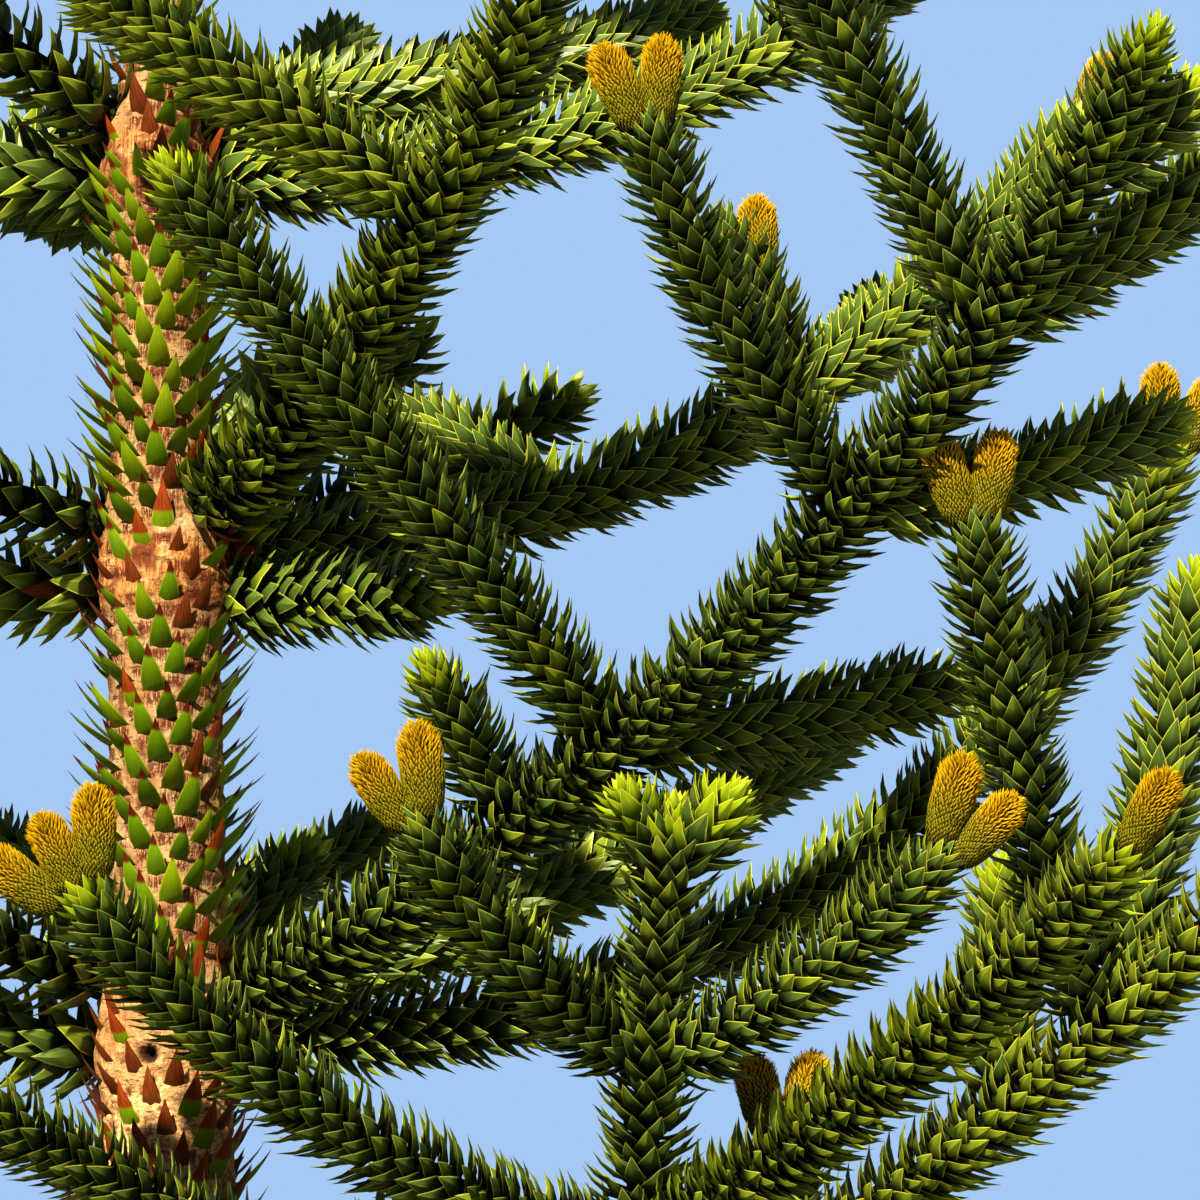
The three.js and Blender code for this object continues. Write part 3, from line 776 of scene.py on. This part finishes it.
def joined_mesh(name, points, faces, finishes, uv=None, slots=None):
    """One mesh from blocks of points, in millimetres, and of triangles between each block's own."""
    firsts = np.cumsum([0, *map(len, points[:-1])])
    faces = np.concatenate([block + first for block, first in zip(faces, firsts)])
    points = np.concatenate(points)
    mesh = bpy.data.meshes.new(name)
    mesh.vertices.add(len(points))
    mesh.vertices.foreach_set("co", (points * MM).astype(np.float32).ravel())
    mesh.loops.add(faces.size)
    mesh.loops.foreach_set("vertex_index", faces.astype(np.int32).ravel())
    mesh.polygons.add(len(faces))
    mesh.polygons.foreach_set("loop_start", np.arange(0, faces.size, 3, dtype=np.int32))
    if slots is not None:
        mesh.polygons.foreach_set("material_index", slots.astype(np.int32))
    if uv is not None:
        mesh.uv_layers.new(name=MAP).uv.foreach_set("vector", uv.astype(np.float32).ravel())
    mesh.update(calc_edges=True)
    if uv is not None:
        mesh.shade_smooth()
        mesh.set_sharp_from_angle(angle=radians(LEAF_CREASE))
    return tree_piece(name, mesh, finishes)


def bm_mesh(name, bm):
    mesh = bpy.data.meshes.new(name)
    bm.to_mesh(mesh)
    bm.free()
    return mesh


def added(name, data):
    """A new object in the scene, unturned at the origin."""
    thing = bpy.data.objects.new(name, data)
    bpy.context.scene.collection.objects.link(thing)
    return thing


def tree_piece(name, mesh, finishes):
    for finish in finishes:
        mesh.materials.append(finish)
    piece = added(name, mesh)
    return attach(piece, "root") or piece


SECOND_PIECE = {  # boughs whose leaves their whorl's first piece has no room for
    "fourth_left_back", "fourth_left_front", "fourth_near", "light_right", "long_right", "low_away",
}
LEADER_PIECE = "top_1"  # the one that the leader's leaves are joined to
PALE_BOUGHS = {"light_right", "short_right", "low_away", "top_back", "mid_away", "top_away"}
OLIVE_BOUGHS = {  # with the share of their shoots that are olive
    "near": 0.75, "fourth_near": 0.6, "front": 0.45, "right_front": 0.15, "top_right": 0.1,
}
SEEDED_DEEP = 0.5
SEEDED_OLIVE = 0.8


def shoot_kind(shoot, draw):
    """The leaf colour that a shoot is dealt."""
    chance = draw(0, 1)
    if shoot.name in PALE_BOUGHS:
        return "soft"
    if shoot.name in OLIVE_BOUGHS:
        return "olive" if chance < OLIVE_BOUGHS[shoot.name] else "deep"
    if not shoot.seeded:
        return "deep"
    return "deep" if chance < SEEDED_DEEP else "olive" if chance < SEEDED_OLIVE else "soft"


def is_bough(shoot):
    return shoot.parent is None and shoot.name != "trunk"


def shoot_leaves(leaves, shoot, draw, scatter):
    """Leaves in a spiral from the shoot's root to its closing rosette."""
    start = LEAF_START if shoot.parent else bark_radius(shoot.points[0][2]) + BOUGH_LEAF_START
    bud = min(BUD_LENGTH, 0.5 * shoot.length)
    pitch = SEEDED_PITCH if shoot.seeded else LEAF_PITCH
    bud_pitch = BUD_PITCH * pitch / LEAF_PITCH
    at = np.concatenate([
        np.arange(start, shoot.length - bud, pitch),
        np.arange(shoot.length - bud, shoot.length - 1, bud_pitch),
    ])
    count = len(at)
    middle, along, side, up = shoot.station(at)
    turn = draw(*ANY_TURN) + GOLDEN_TURN * np.arange(count) + scatter.normal(0, TURN_SPREAD, count)
    c, s = np.cos(turn)[:, None], np.sin(turn)[:, None]
    out, around = c * side + s * up, -s * side + c * up
    closing = 1 - np.clip((shoot.length - at) / bud, 0, 1)

    size = LEAF_SCALE.get(shoot.name, 1.0) * (1 - (1 - BUD_SIZE) * closing**1.5)
    year_ends = np.cos(at / YEAR_WAVE * 6.283 + draw(*ANY_TURN)) > YEAR_END
    size = size * (1 - YEAR_SMALLER * year_ends)
    size = size * scatter.normal(1.0, SIZE_SPREAD, count).clip(0.84, 1.14)
    if shoot.seeded:
        size = size * SEEDED_SIZE
    opening = scatter.normal(0, OPENING_SPREAD, count) + LEAF_LIFT * out[:, 2]
    opening = np.radians(opening - BUD_CLOSING * closing**1.4)
    radius = shoot.stem_radius(at) * (1 - BUD_NARROWING * closing**2) - LEAF_SUNK
    base = middle + out * radius[:, None]

    own = shoot_kind(shoot, draw)
    kind = np.full(count, KIND[own])

    def deal(name, share):
        kind[scatter.random(count) < share] = KIND[name]

    deal("deep" if own == "olive" else "olive", MIXED_SHARE)
    if not shoot.seeded and shoot.length < YOUNG_LENGTH:
        deal("fresh", (at / shoot.length).clip(0.2, 0.9))
    if not shoot.cones or draw(0, 1) < 0.5:
        deal("fresh", (closing - 0.12) * 2.6)
    if is_bough(shoot):
        deal("dry", OLD_SHARE * np.exp(-(at - start) / OLD_REACH))
    seen = in_picture(middle, LEAN_UNSEEN)
    for shape, pick in ((FULL_LEAF, seen), (LEAN_LEAF, ~seen)):
        leaves.add(shape, base[pick], along[pick], out[pick], around[pick], size[pick],
                   opening[pick], kind[pick])


def knot_hole_place():
    x, z = KNOT_HOLE
    return np.array([trunk_axis(z)[0] + x, -bark_radius(z), z])


def bark_place(height, turn):
    return trunk_axis(height) + bark_radius(height) * outwards(turn)


def bough_roots(shoots):
    """Where the boughs leave the bark."""
    boughs = [shoot for shoot in shoots if is_bough(shoot)]
    return np.array([bough.place(bark_radius(bough.points[0][2])) for bough in boughs])


def trunk_leaf_places(shoots, scatter):
    """Height and angle of the trunk's leaves, in a spiral that thins out downwards and leaves the
    boughs' roots and the knot hole free."""
    roots = bough_roots(shoots)
    hole = knot_hole_place()
    places = []
    height, turn = BLADE_AREA[0][0], 0.0
    while height < TREE_HEIGHT - LEADER_LENGTH:
        place = bark_place(height, turn)
        free = np.linalg.norm(roots - place, axis=1).min() > ROOT_FREE
        if free and np.linalg.norm(hole - place) > HOLE_FREE and scatter.random() < BLADES_KEPT:
            places.append((height, turn))
        height += float(read_table(BLADE_AREA, height)) / (2 * pi * bark_radius(height))
        turn += GOLDEN_TURN
    return np.array(places).T


def trunk_leaves(places, scatter):
    heights, angles = places
    count = len(heights)
    out, around = outwards(angles), sideways(angles)
    along = np.tile([0.0, 0.0, 1.0], (count, 1))
    axes = np.array([trunk_axis(z) for z in heights])
    radius = np.array([bark_radius(z) for z in heights])
    off = heights[:, None] - WHORL_HEIGHTS + DYING_BELOW
    near = np.exp(-((off / DYING_REACH) ** 2)).max(1)
    dying = np.maximum(read_table(BLADES_DYING, heights), WHORL_DYING * near)
    dead = np.maximum(read_table(BLADES_DEAD, heights), WHORL_DEAD * near)
    chance = scatter.random(count)
    kind = np.full(count, KIND["trunk"])
    kind[scatter.random(count) < read_table(BLADES_MOSSY, heights)] = KIND["moss"]
    kind[chance < dying] = KIND["rust"]
    kind[chance < dead] = KIND["dry"]
    size = scatter.normal(1.0, 0.08, count).clip(0.8, 1.2) * read_table(BLADE_SIZE, heights)
    opening = scatter.normal(0, OPENING_SPREAD, count) - DEAD_DROOP * (chance < dying)
    size = size * np.where(kind == KIND["dry"], DEAD_SIZE, 1.0)
    base = axes + out * (radius - LEAF_SUNK)[:, None]
    leaves = Leaves()
    leaves.add(TRUNK_BLADE, base, along, out, around, size, np.radians(opening), kind)
    return leaves


def tube_faces(rings, sides):
    """The triangles of a tube: rings of points, then its foot and its tip."""
    faces = []
    for i in range(rings - 1):
        for j in range(sides):
            a, b = i * sides + j, i * sides + (j + 1) % sides
            faces += [(a, b, b + sides), (a, b + sides, a + sides)]
    foot, last = rings * sides, (rings - 1) * sides
    for j in range(sides):
        k = (j + 1) % sides
        faces += [(foot, k, j), (foot + 1, last + j, last + k)]
    return np.array(faces)


def stem_mesh(name, shoots, finish):
    """The living stems: tapering tubes with knobbly bark, closed at both ends."""
    points, faces = [], []
    turn = np.arange(STEM_SIDES) * 2 * pi / STEM_SIDES
    for number, shoot in enumerate(shoots):
        rings = max(6, round(shoot.length / STEM_STEP))
        at = np.linspace(0, shoot.length - STEM_SHORT, rings)
        middle, along, side, up = shoot.station(at)
        closing = np.sqrt(np.clip((shoot.length - at) / STEM_CLOSING, 0.05, 1))
        radius = shoot.stem_radius(at) * closing
        knobs = np.sin(number + at[:, None] * 0.37 + 3 * turn) * STEM_KNOBS + 1
        ring = np.cos(turn)[:, None] * side[:, None] + np.sin(turn)[:, None] * up[:, None]
        wall = middle[:, None] + ring * (radius[:, None] * knobs)[..., None]
        tip = middle[-1:] + along[-1:] * STEM_SHORT
        points.append(np.concatenate([wall.reshape(-1, 3), middle[:1], tip]))
        faces.append(tube_faces(rings, STEM_SIDES))
    return joined_mesh(name, points, faces, [finish])


def cone_shape(scatter):
    """A pollen cone: a round body under spiral rows of scales whose points turn up, with its foot
    at the origin and +Z to its head. Its map's first axis is 0 to 0.35 in the gaps and 0.95 at the
    scales' points, and its second runs from foot to head."""
    t = np.linspace(0, 1, CONE_ROWS)
    turn = np.arange(CONE_SIDES) * 2 * pi / CONE_SIDES
    girth = (read_table(CONE_GIRTH, t) * (CONE_RADIUS - 2))[:, None]
    height = np.repeat(t[:, None] * CONE_LENGTH, CONE_SIDES, 1)
    wall = np.stack([girth * np.cos(turn), girth * np.sin(turn), height], -1)
    points = [wall.reshape(-1, 3), np.array([[0, 0, 0], [0, 0, CONE_LENGTH + 1]])]
    faces, uv = tube_faces(CONE_ROWS, CONE_SIDES).tolist(), []
    for s, over in zip(t, t[1:]):
        uv += [(0.1, s), (0.2, s), (0.1, over), (0.1, s), (0.1, over), (0.2, over)] * CONE_SIDES
    uv += [(0.1, 0), (0.2, 0), (0.1, 0.02), (0.1, 1), (0.2, 1), (0.1, 0.98)] * CONE_SIDES

    up = np.array([0.0, 0.0, 1.0])
    for i, s in enumerate((np.arange(CONE_SCALES) + 0.5) / CONE_SCALES):
        angle = i * GOLDEN_TURN
        radius = float(read_table(CONE_GIRTH, s)) * CONE_RADIUS - 1.5
        out, around = outwards(angle), sideways(angle)
        length = read_table(SCALE_LENGTH, s) * scatter.uniform(0.7, 1.3)
        middle = out * radius + up * s * CONE_LENGTH
        curl = around * scatter.uniform(-0.6, 0.6)
        tip = middle + (out * read_table(SCALE_SPREAD, s) + up + curl) * length * 0.72
        half = around * SCALE_WIDE
        first = len(points[0]) + 2 + 4 * i
        points.append(np.array([middle - half, middle - up * 3.2 + out, middle + half, tip]))
        faces += [(first + a, first + b, first + 3) for a, b in ((0, 1), (1, 2), (2, 0))]
        foot, keel, head = (0.3, s), (0.35, s), (0.95, s)
        uv += [foot, keel, head, keel, foot, head, foot, (0.3, s + 0.004), head]
    return np.concatenate(points), np.array(faces), np.array(uv)


def cone_piece(shoots, finish, scatter):
    """The cones at the shoots' tips. On placed shoots they stand apart in the picture's plane."""
    points, faces, uv = cone_shape(scatter)
    cones = []
    for shoot in shoots:
        middle, along, side, up = (v[0] for v in shoot.station(shoot.length))
        if not shoot.seeded:
            side = np.cross(along, (0, 1, 0))
            side /= -np.linalg.norm(side)
        for i in range(shoot.cones):
            place = i - (shoot.cones - 1) / 2
            way = along + side * place * CONE_SPREAD + np.array([0, 0, CONE_UPRIGHT])
            turn = Vector(way).to_track_quat("Z", "Y").to_matrix()
            size = scatter.uniform(0.9, 1.04)
            foot = middle + side * place * CONE_APART - along * shoot.cones_down
            cones.append(points @ (np.array(turn).T * size) + foot)
    uv = np.tile(uv, (len(cones), 1))
    return joined_mesh("pollen_cones", cones, [faces] * len(cones), [finish], uv)


def cone_finish():
    """Golden scales that deepen to olive at the cone's foot, darkened by painted shade towards
    their feet and in the gaps between them.
    """
    finish = Finish("cone_scales", roughness=0.5, specular=0.15)
    point, along = finish.map_place()
    ripe = along.smooth(0.3, 0.8)
    bright = finish.blend(ripe, (0.36, 0.31, 0.004), (0.86, 0.5, 0.003))
    # painted shade in the gaps between the scales and at their feet, under the scales above them
    dark = finish.blend(ripe, (0.04, 0.033, 0.001), (0.1, 0.05, 0.001))
    finish.colour(finish.blend(point.smooth(0.34, 0.98), dark, bright))
    return finish.material


def smooth_step(low, high, value):
    """0 at low and 1 at high, and soft between."""
    t = min(1, max(0, (value - low) / (high - low)))
    return t * t * (3 - 2 * t)


def bell(value, width):
    return exp(-((value / width) ** 2))


def search_tree(places):
    tree = kdtree.KDTree(len(places))
    for i, place in enumerate(places):
        tree.insert(place, i)
    tree.balance()
    return tree


def trunk_piece(shoots, leaf_places, finish):
    """The whole trunk, with furrowed bark, fibrous collars under the whorls, cushions round the
    boughs' roots and under the leaves, and a flared foot."""
    heights = np.concatenate([np.arange(*rows) for rows in BARK_ROWS])
    bm = bmesh.new()
    rail = [bm.verts.new((1, 0, z * MM)) for z in heights]
    edges = [bm.edges.new(pair) for pair in zip(rail, rail[1:])]
    bmesh.ops.spin(bm, geom=rail + edges, cent=(0, 0, 0), axis=(0, 0, 1), angle=2 * pi,
                   steps=BARK_STEPS, use_merge=True)
    layers = [bm.verts.layers.float.new(name) for name in ("collar", "furrow_shade", "socket_and_shadow", "hole_shade")]
    roots = search_tree(bough_roots(shoots))
    scars = search_tree([bark_place(z, angle) for z, angle in zip(*leaf_places)])
    hole = Vector(knot_hole_place())

    for vert in bm.verts:
        z = vert.co.z / MM
        angle = atan2(vert.co.y, vert.co.x)
        radius = bark_radius(z)
        x, y = cos(angle), sin(angle)
        middle = trunk_axis(z)[0]
        place = Vector((middle + x * radius, y * radius, z))

        def grain(wide, high, shift=0):
            return Vector((x * radius / wide, y * radius / wide, z / high + shift))

        def crease(depth, *sizes):
            return depth - min(abs(noise.noise(grain(*sizes))), depth)

        collar = max(bell(z - whorl + COLLAR_BELOW, COLLAR_REACH) for whorl in WHORL_HEIGHTS)
        collar *= min(1, radius / 40)
        swell = COLLAR_SWELL * collar * (0.8 + 0.4 * noise.noise(place / 45))

        plates = noise.fractal(grain(*PLATE_GRAIN), 0.9, 2.2, 4)
        fibre = noise.noise(grain(*FIBRE_GRAIN))
        rings = noise.noise(Vector((x * RING_GRAIN[0], y * RING_GRAIN[0], z / RING_GRAIN[1])))
        ridges = crease(RIDGE_DEPTH, *RIDGE_GRAIN, 9)
        cracks = crease(CRACK_DEPTH, *CRACK_GRAIN, 5)
        rough = 1.3 * plates + 1.3 * rings + (0.9 + 1.6 * collar) * fibre
        rough -= 1.6 * ridges + 8 * cracks
        rough *= min(1.0, radius / 60)

        flare = exp(-z / FOOT_REACH)
        lobes = LOBE_SWELL * flare * (0.5 + 0.5 * cos(FOOT_LOBES * angle + 1.1))
        lobes -= FOOT_SHRINK * flare
        cushion = ROOT_CUSHION * bell(roots.find(place)[2], CUSHION_REACH)
        scar = scars.find(place + Vector((0, 0, 9)))[1]
        beside = abs((angle - leaf_places[1][scar] + pi) % (2 * pi) - pi) * radius
        below = leaf_places[0][scar] - z
        # under each leaf's foot: a red-brown socket of the bark's own, and painted shadow of the
        # leaf above it
        socket_and_shadow = smooth_step(14, 10, beside) * smooth_step(21, 8, below)
        socket_and_shadow *= smooth_step(-5, -1, below)
        pad = LEAF_PAD * smooth_step(14, 8, beside) * bell(below, 7)
        pit = (place - hole).length
        dent = HOLE_DEPTH * bell(pit, HOLE_REACH) - HOLE_RIM * bell(pit - 15, 6)
        grown = max(radius + swell + rough + lobes + cushion + pad - dent, 4)
        vert.co = Vector((middle + x * grown, y * grown, max(z, 0))) * MM

        # painted shade: how dark the bark is coloured where it is sunk, in its cracks and round the
        # knot hole
        sunk_shade = 0.36 - 0.26 * (plates + 0.5 * fibre + 0.4 * rings) + 0.9 * ridges
        furrow_shade = min(1, max(0, sunk_shade) + 1.6 * cracks + max(dent, 0) / 14)
        # painted shade: the knot hole's inside is coloured near black
        hole_shade = exp(-((pit / 10) ** 4))
        for layer, value in zip(layers, (collar, furrow_shade, socket_and_shadow, hole_shade)):
            vert[layer] = value
    for z, at_foot in ((0, True), (heights[-1], False)):
        ring = [v for v in bm.verts if v.is_boundary and (v.co.z < 0.01) == at_foot]
        ring.sort(key=lambda v: atan2(v.co.y, v.co.x - trunk_axis(z)[0] * MM))
        bm.faces.new(ring)
    bmesh.ops.recalc_face_normals(bm, faces=bm.faces)
    for face in bm.faces:
        face.smooth = len(face.verts) == 4
    return tree_piece("trunk_bark", bm_mesh("trunk_bark", bm), [finish])


def bark_finish():
    """Tan plates with thin dark cracks, red-brown sockets under the leaves that are partly painted
    shadow, orange fibres on the collars, paler bark on the aged lower trunk and grey at its foot.
    Sunk bark is darkened with painted shade, and the knot hole is painted near black as shade."""
    finish = Finish("trunk_bark", roughness=0.85, specular=0.2)
    blend = finish.blend
    place = finish.object_place()
    patches = finish.scatter(place, 26, 4.0, 0.6, (1, 1, 0.7))
    mottle = finish.scatter(place, 75, 3.0, 0.6)
    threads = finish.scatter(place, 330, 3.0, 0.6, (1, 1, 0.12))
    strokes = finish.scatter(place, 560, 2.0, 0.5, (1, 1, 0.09))
    fibres = finish.scatter(place, 300, 4.0, 0.7, (0.5, 0.5, 1))
    specks = finish.scatter(place, 190, 2.0)
    creases = finish.scatter(place, 170, 4.0, 0.65, (0.35, 0.35, 1))
    crack = creases.smooth(0.56, 0.66) * mottle.smooth(0.35, 0.6)
    metres_up = finish.parts(place)[2]
    aged = 1 - (metres_up + (patches - 0.5) * 0.2).smooth(2.92, 3.06)
    collar, furrow_shade = finish.carried("collar"), finish.carried("furrow_shade")
    socket_and_shadow, hole_shade = finish.carried("socket_and_shadow"), finish.carried("hole_shade")

    plate = blend(patches.smooth(0.32, 0.68), (0.31, 0.15, 0.06), (0.5, 0.33, 0.155))
    plate = blend(mottle.smooth(0.5, 0.72) * 0.6, plate, (0.64, 0.5, 0.3))
    plate = blend(fibres.smooth(0.45, 0.7) * 0.6, plate, (0.26, 0.11, 0.05))
    orange = blend(threads.smooth(0.35, 0.68), (0.24, 0.07, 0.015), (0.62, 0.31, 0.1))
    orange = blend(mottle.smooth(0.5, 0.72) * 0.6, orange, (0.72, 0.49, 0.26))
    orange = blend((1 - patches).smooth(0.46, 0.62) * 0.8, orange, (0.13, 0.03, 0.008))
    tan = blend(fibres.smooth(0.36, 0.62), (0.5, 0.24, 0.085), (0.92, 0.58, 0.28))
    tan = blend(threads.smooth(0.55, 0.75) * 0.5, tan, (0.46, 0.22, 0.09))
    grey = blend(fibres.smooth(0.36, 0.62), (0.17, 0.115, 0.075), (0.46, 0.34, 0.22))
    tan = blend((1 - metres_up.smooth(0.5, 2.6)) * 0.75, tan, grey)

    bark = blend(aged, plate, tan)
    bark = blend(collar.smooth(0.25, 0.8) * (1 - aged * 0.5), bark, orange)
    # dark red-brown: painted shade in the sunk bark, and the cracks' own colour
    dark = blend(patches, (0.07, 0.018, 0.008), (0.2, 0.065, 0.03))
    # painted shade in the sunk bark
    sunk_shade = (furrow_shade + (threads - 0.5) * 0.4).smooth(0.5, 0.8)
    bark = blend(sunk_shade * 0.85, bark, dark)
    bark = blend(crack * 0.7, bark, dark)
    # streaky red-brown under each leaf: partly the bark's own fringe, partly painted shadow of the
    # leaf
    fringe_and_shadow = socket_and_shadow * (strokes + socket_and_shadow * 0.12 - 0.12).smooth(0.4, 0.52) * (1 - aged * 0.75)
    bark = blend(fringe_and_shadow * 0.95, bark, (0.13, 0.03, 0.012))
    # the knot hole painted near black, as shade
    finish.colour(blend(hole_shade, bark, (0.006, 0.004, 0.003)))
    height = threads * 0.35 + fibres * 0.3 + specks * 0.25 + patches * 0.3 - crack * 0.4
    bump = finish.node("ShaderNodeBump", {}, {"Strength": 0.8, "Distance": 0.006, "Height": height})
    finish.feed(finish.shader.inputs["Normal"], bump.outputs[0])
    return finish.material


def stem_finish():
    """Young bark under the leaves, painted near black as the shade between them, with small green
    cushions that are painted dark as shade too.
    """
    finish = Finish("young_bark_painted_shade", roughness=0.9, specular=0.05)
    cushions = finish.scatter(finish.object_place(), 150, 2.0).smooth(0.45, 0.62)
    # painted shade: the stems show only in the gaps between the leaves, so they are coloured as
    # deep shade
    finish.colour(finish.blend(cushions, (0.003, 0.005, 0.001), (0.022, 0.034, 0.002)))
    return finish.material


def make_stage():
    """Pale floor, pale surroundings and soft studio light from the viewer's upper left."""
    bm = bmesh.new()
    bmesh.ops.create_grid(bm, x_segments=8, y_segments=8, size=FLOOR_REACH)
    mesh = bm_mesh("floor", bm)
    pale = Finish("pale_floor", roughness=0.9, specular=0.1)
    pale.colour((0.25, 0.26, 0.275))
    mesh.materials.append(pale.material)
    floor = added("floor", mesh)

    world = bpy.data.worlds.new("surroundings")
    bpy.context.scene.world = world
    world.use_nodes = True
    tree = world.node_tree
    seen = tree.nodes["Background"]
    lit = tree.nodes.new("ShaderNodeBackground")
    either = tree.nodes.new("ShaderNodeMixShader")
    for sky, colour, strength in ((seen, (0.44, 0.65, 0.97), 0.78), (lit, (0.5, 0.74, 1.0), 0.2)):
        sky.inputs["Color"].default_value = opaque(colour)
        sky.inputs["Strength"].default_value = strength
    ray = tree.nodes.new("ShaderNodeLightPath").outputs["Is Camera Ray"]
    for i, source in enumerate((ray, lit.outputs[0], seen.outputs[0])):
        tree.links.new(source, either.inputs[i])
    tree.links.new(either.outputs[0], tree.nodes["World Output"].inputs[0])

    for name, (way, energy, angle, colour) in LAMPS.items():
        lamp = bpy.data.lights.new(name, "SUN")
        lamp.energy = energy
        lamp.angle = radians(angle)
        lamp.color = colour
        light = added(name, lamp)
        light.rotation_mode = "QUATERNION"
        light.rotation_quaternion = Vector(way).to_track_quat("-Z", "Y")


def make_camera():
    camera = added("camera", bpy.data.cameras.new("camera"))
    camera.location = CAMERA_AT
    camera.rotation_euler = (radians(90 + CAMERA_TILT), 0, 0)
    camera.data.lens = CAMERA_LENS
    camera.data.sensor_width = SENSOR
    camera.data.clip_end = FAR
    scene = bpy.context.scene
    scene.camera = camera
    scene.view_settings.view_transform = "Standard"
    scene.view_settings.look = "Medium High Contrast"


def grouped_shoots(shoots):
    """The shoots whose leaves are joined into each piece."""
    groups = {}
    for shoot in shoots:
        number = 2 if shoot.name in SECOND_PIECE else 1
        groups.setdefault(f"{shoot.bough['whorl']}_{number}", []).append(shoot)
    return groups


def node_names(start):
    return [name for name in frame["nodes"] if name.startswith(start)]


def dress_tree():
    shoots, draw = plan_tree()
    add_fine_forks(shoots, draw)
    scatter = np.random.default_rng(SEED)
    finishes = [leaf_finish(name) for name in LEAF_KINDS]
    young = stem_finish()

    places = trunk_leaf_places(shoots, scatter)
    trunk = trunk_piece(shoots, places, bark_finish())
    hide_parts("trunk")
    spikes = trunk_leaves(places, scatter).joined("trunk_leaves", finishes)

    leader, *rest = shoots
    for name, group in grouped_shoots(rest).items():
        leaves = Leaves()
        boughs = dict.fromkeys(shoot.name for shoot in group)
        for shoot in [*group, leader] if name == LEADER_PIECE else group:
            shoot_leaves(leaves, shoot, draw, scatter)
        piece = leaves.joined(f"leaves_{name}", finishes)
        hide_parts(*(f"foliage_{bough}" for bough in boughs))

    boughs = stem_mesh("boughs", [shoot for shoot in rest if not shoot.parent], young)
    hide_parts(*node_names("bough_"))
    twigs = stem_mesh("twigs", [shoot for shoot in rest if shoot.parent], young)
    cones = cone_piece(shoots, cone_finish(), scatter)


make_camera()
make_stage()
dress_tree()
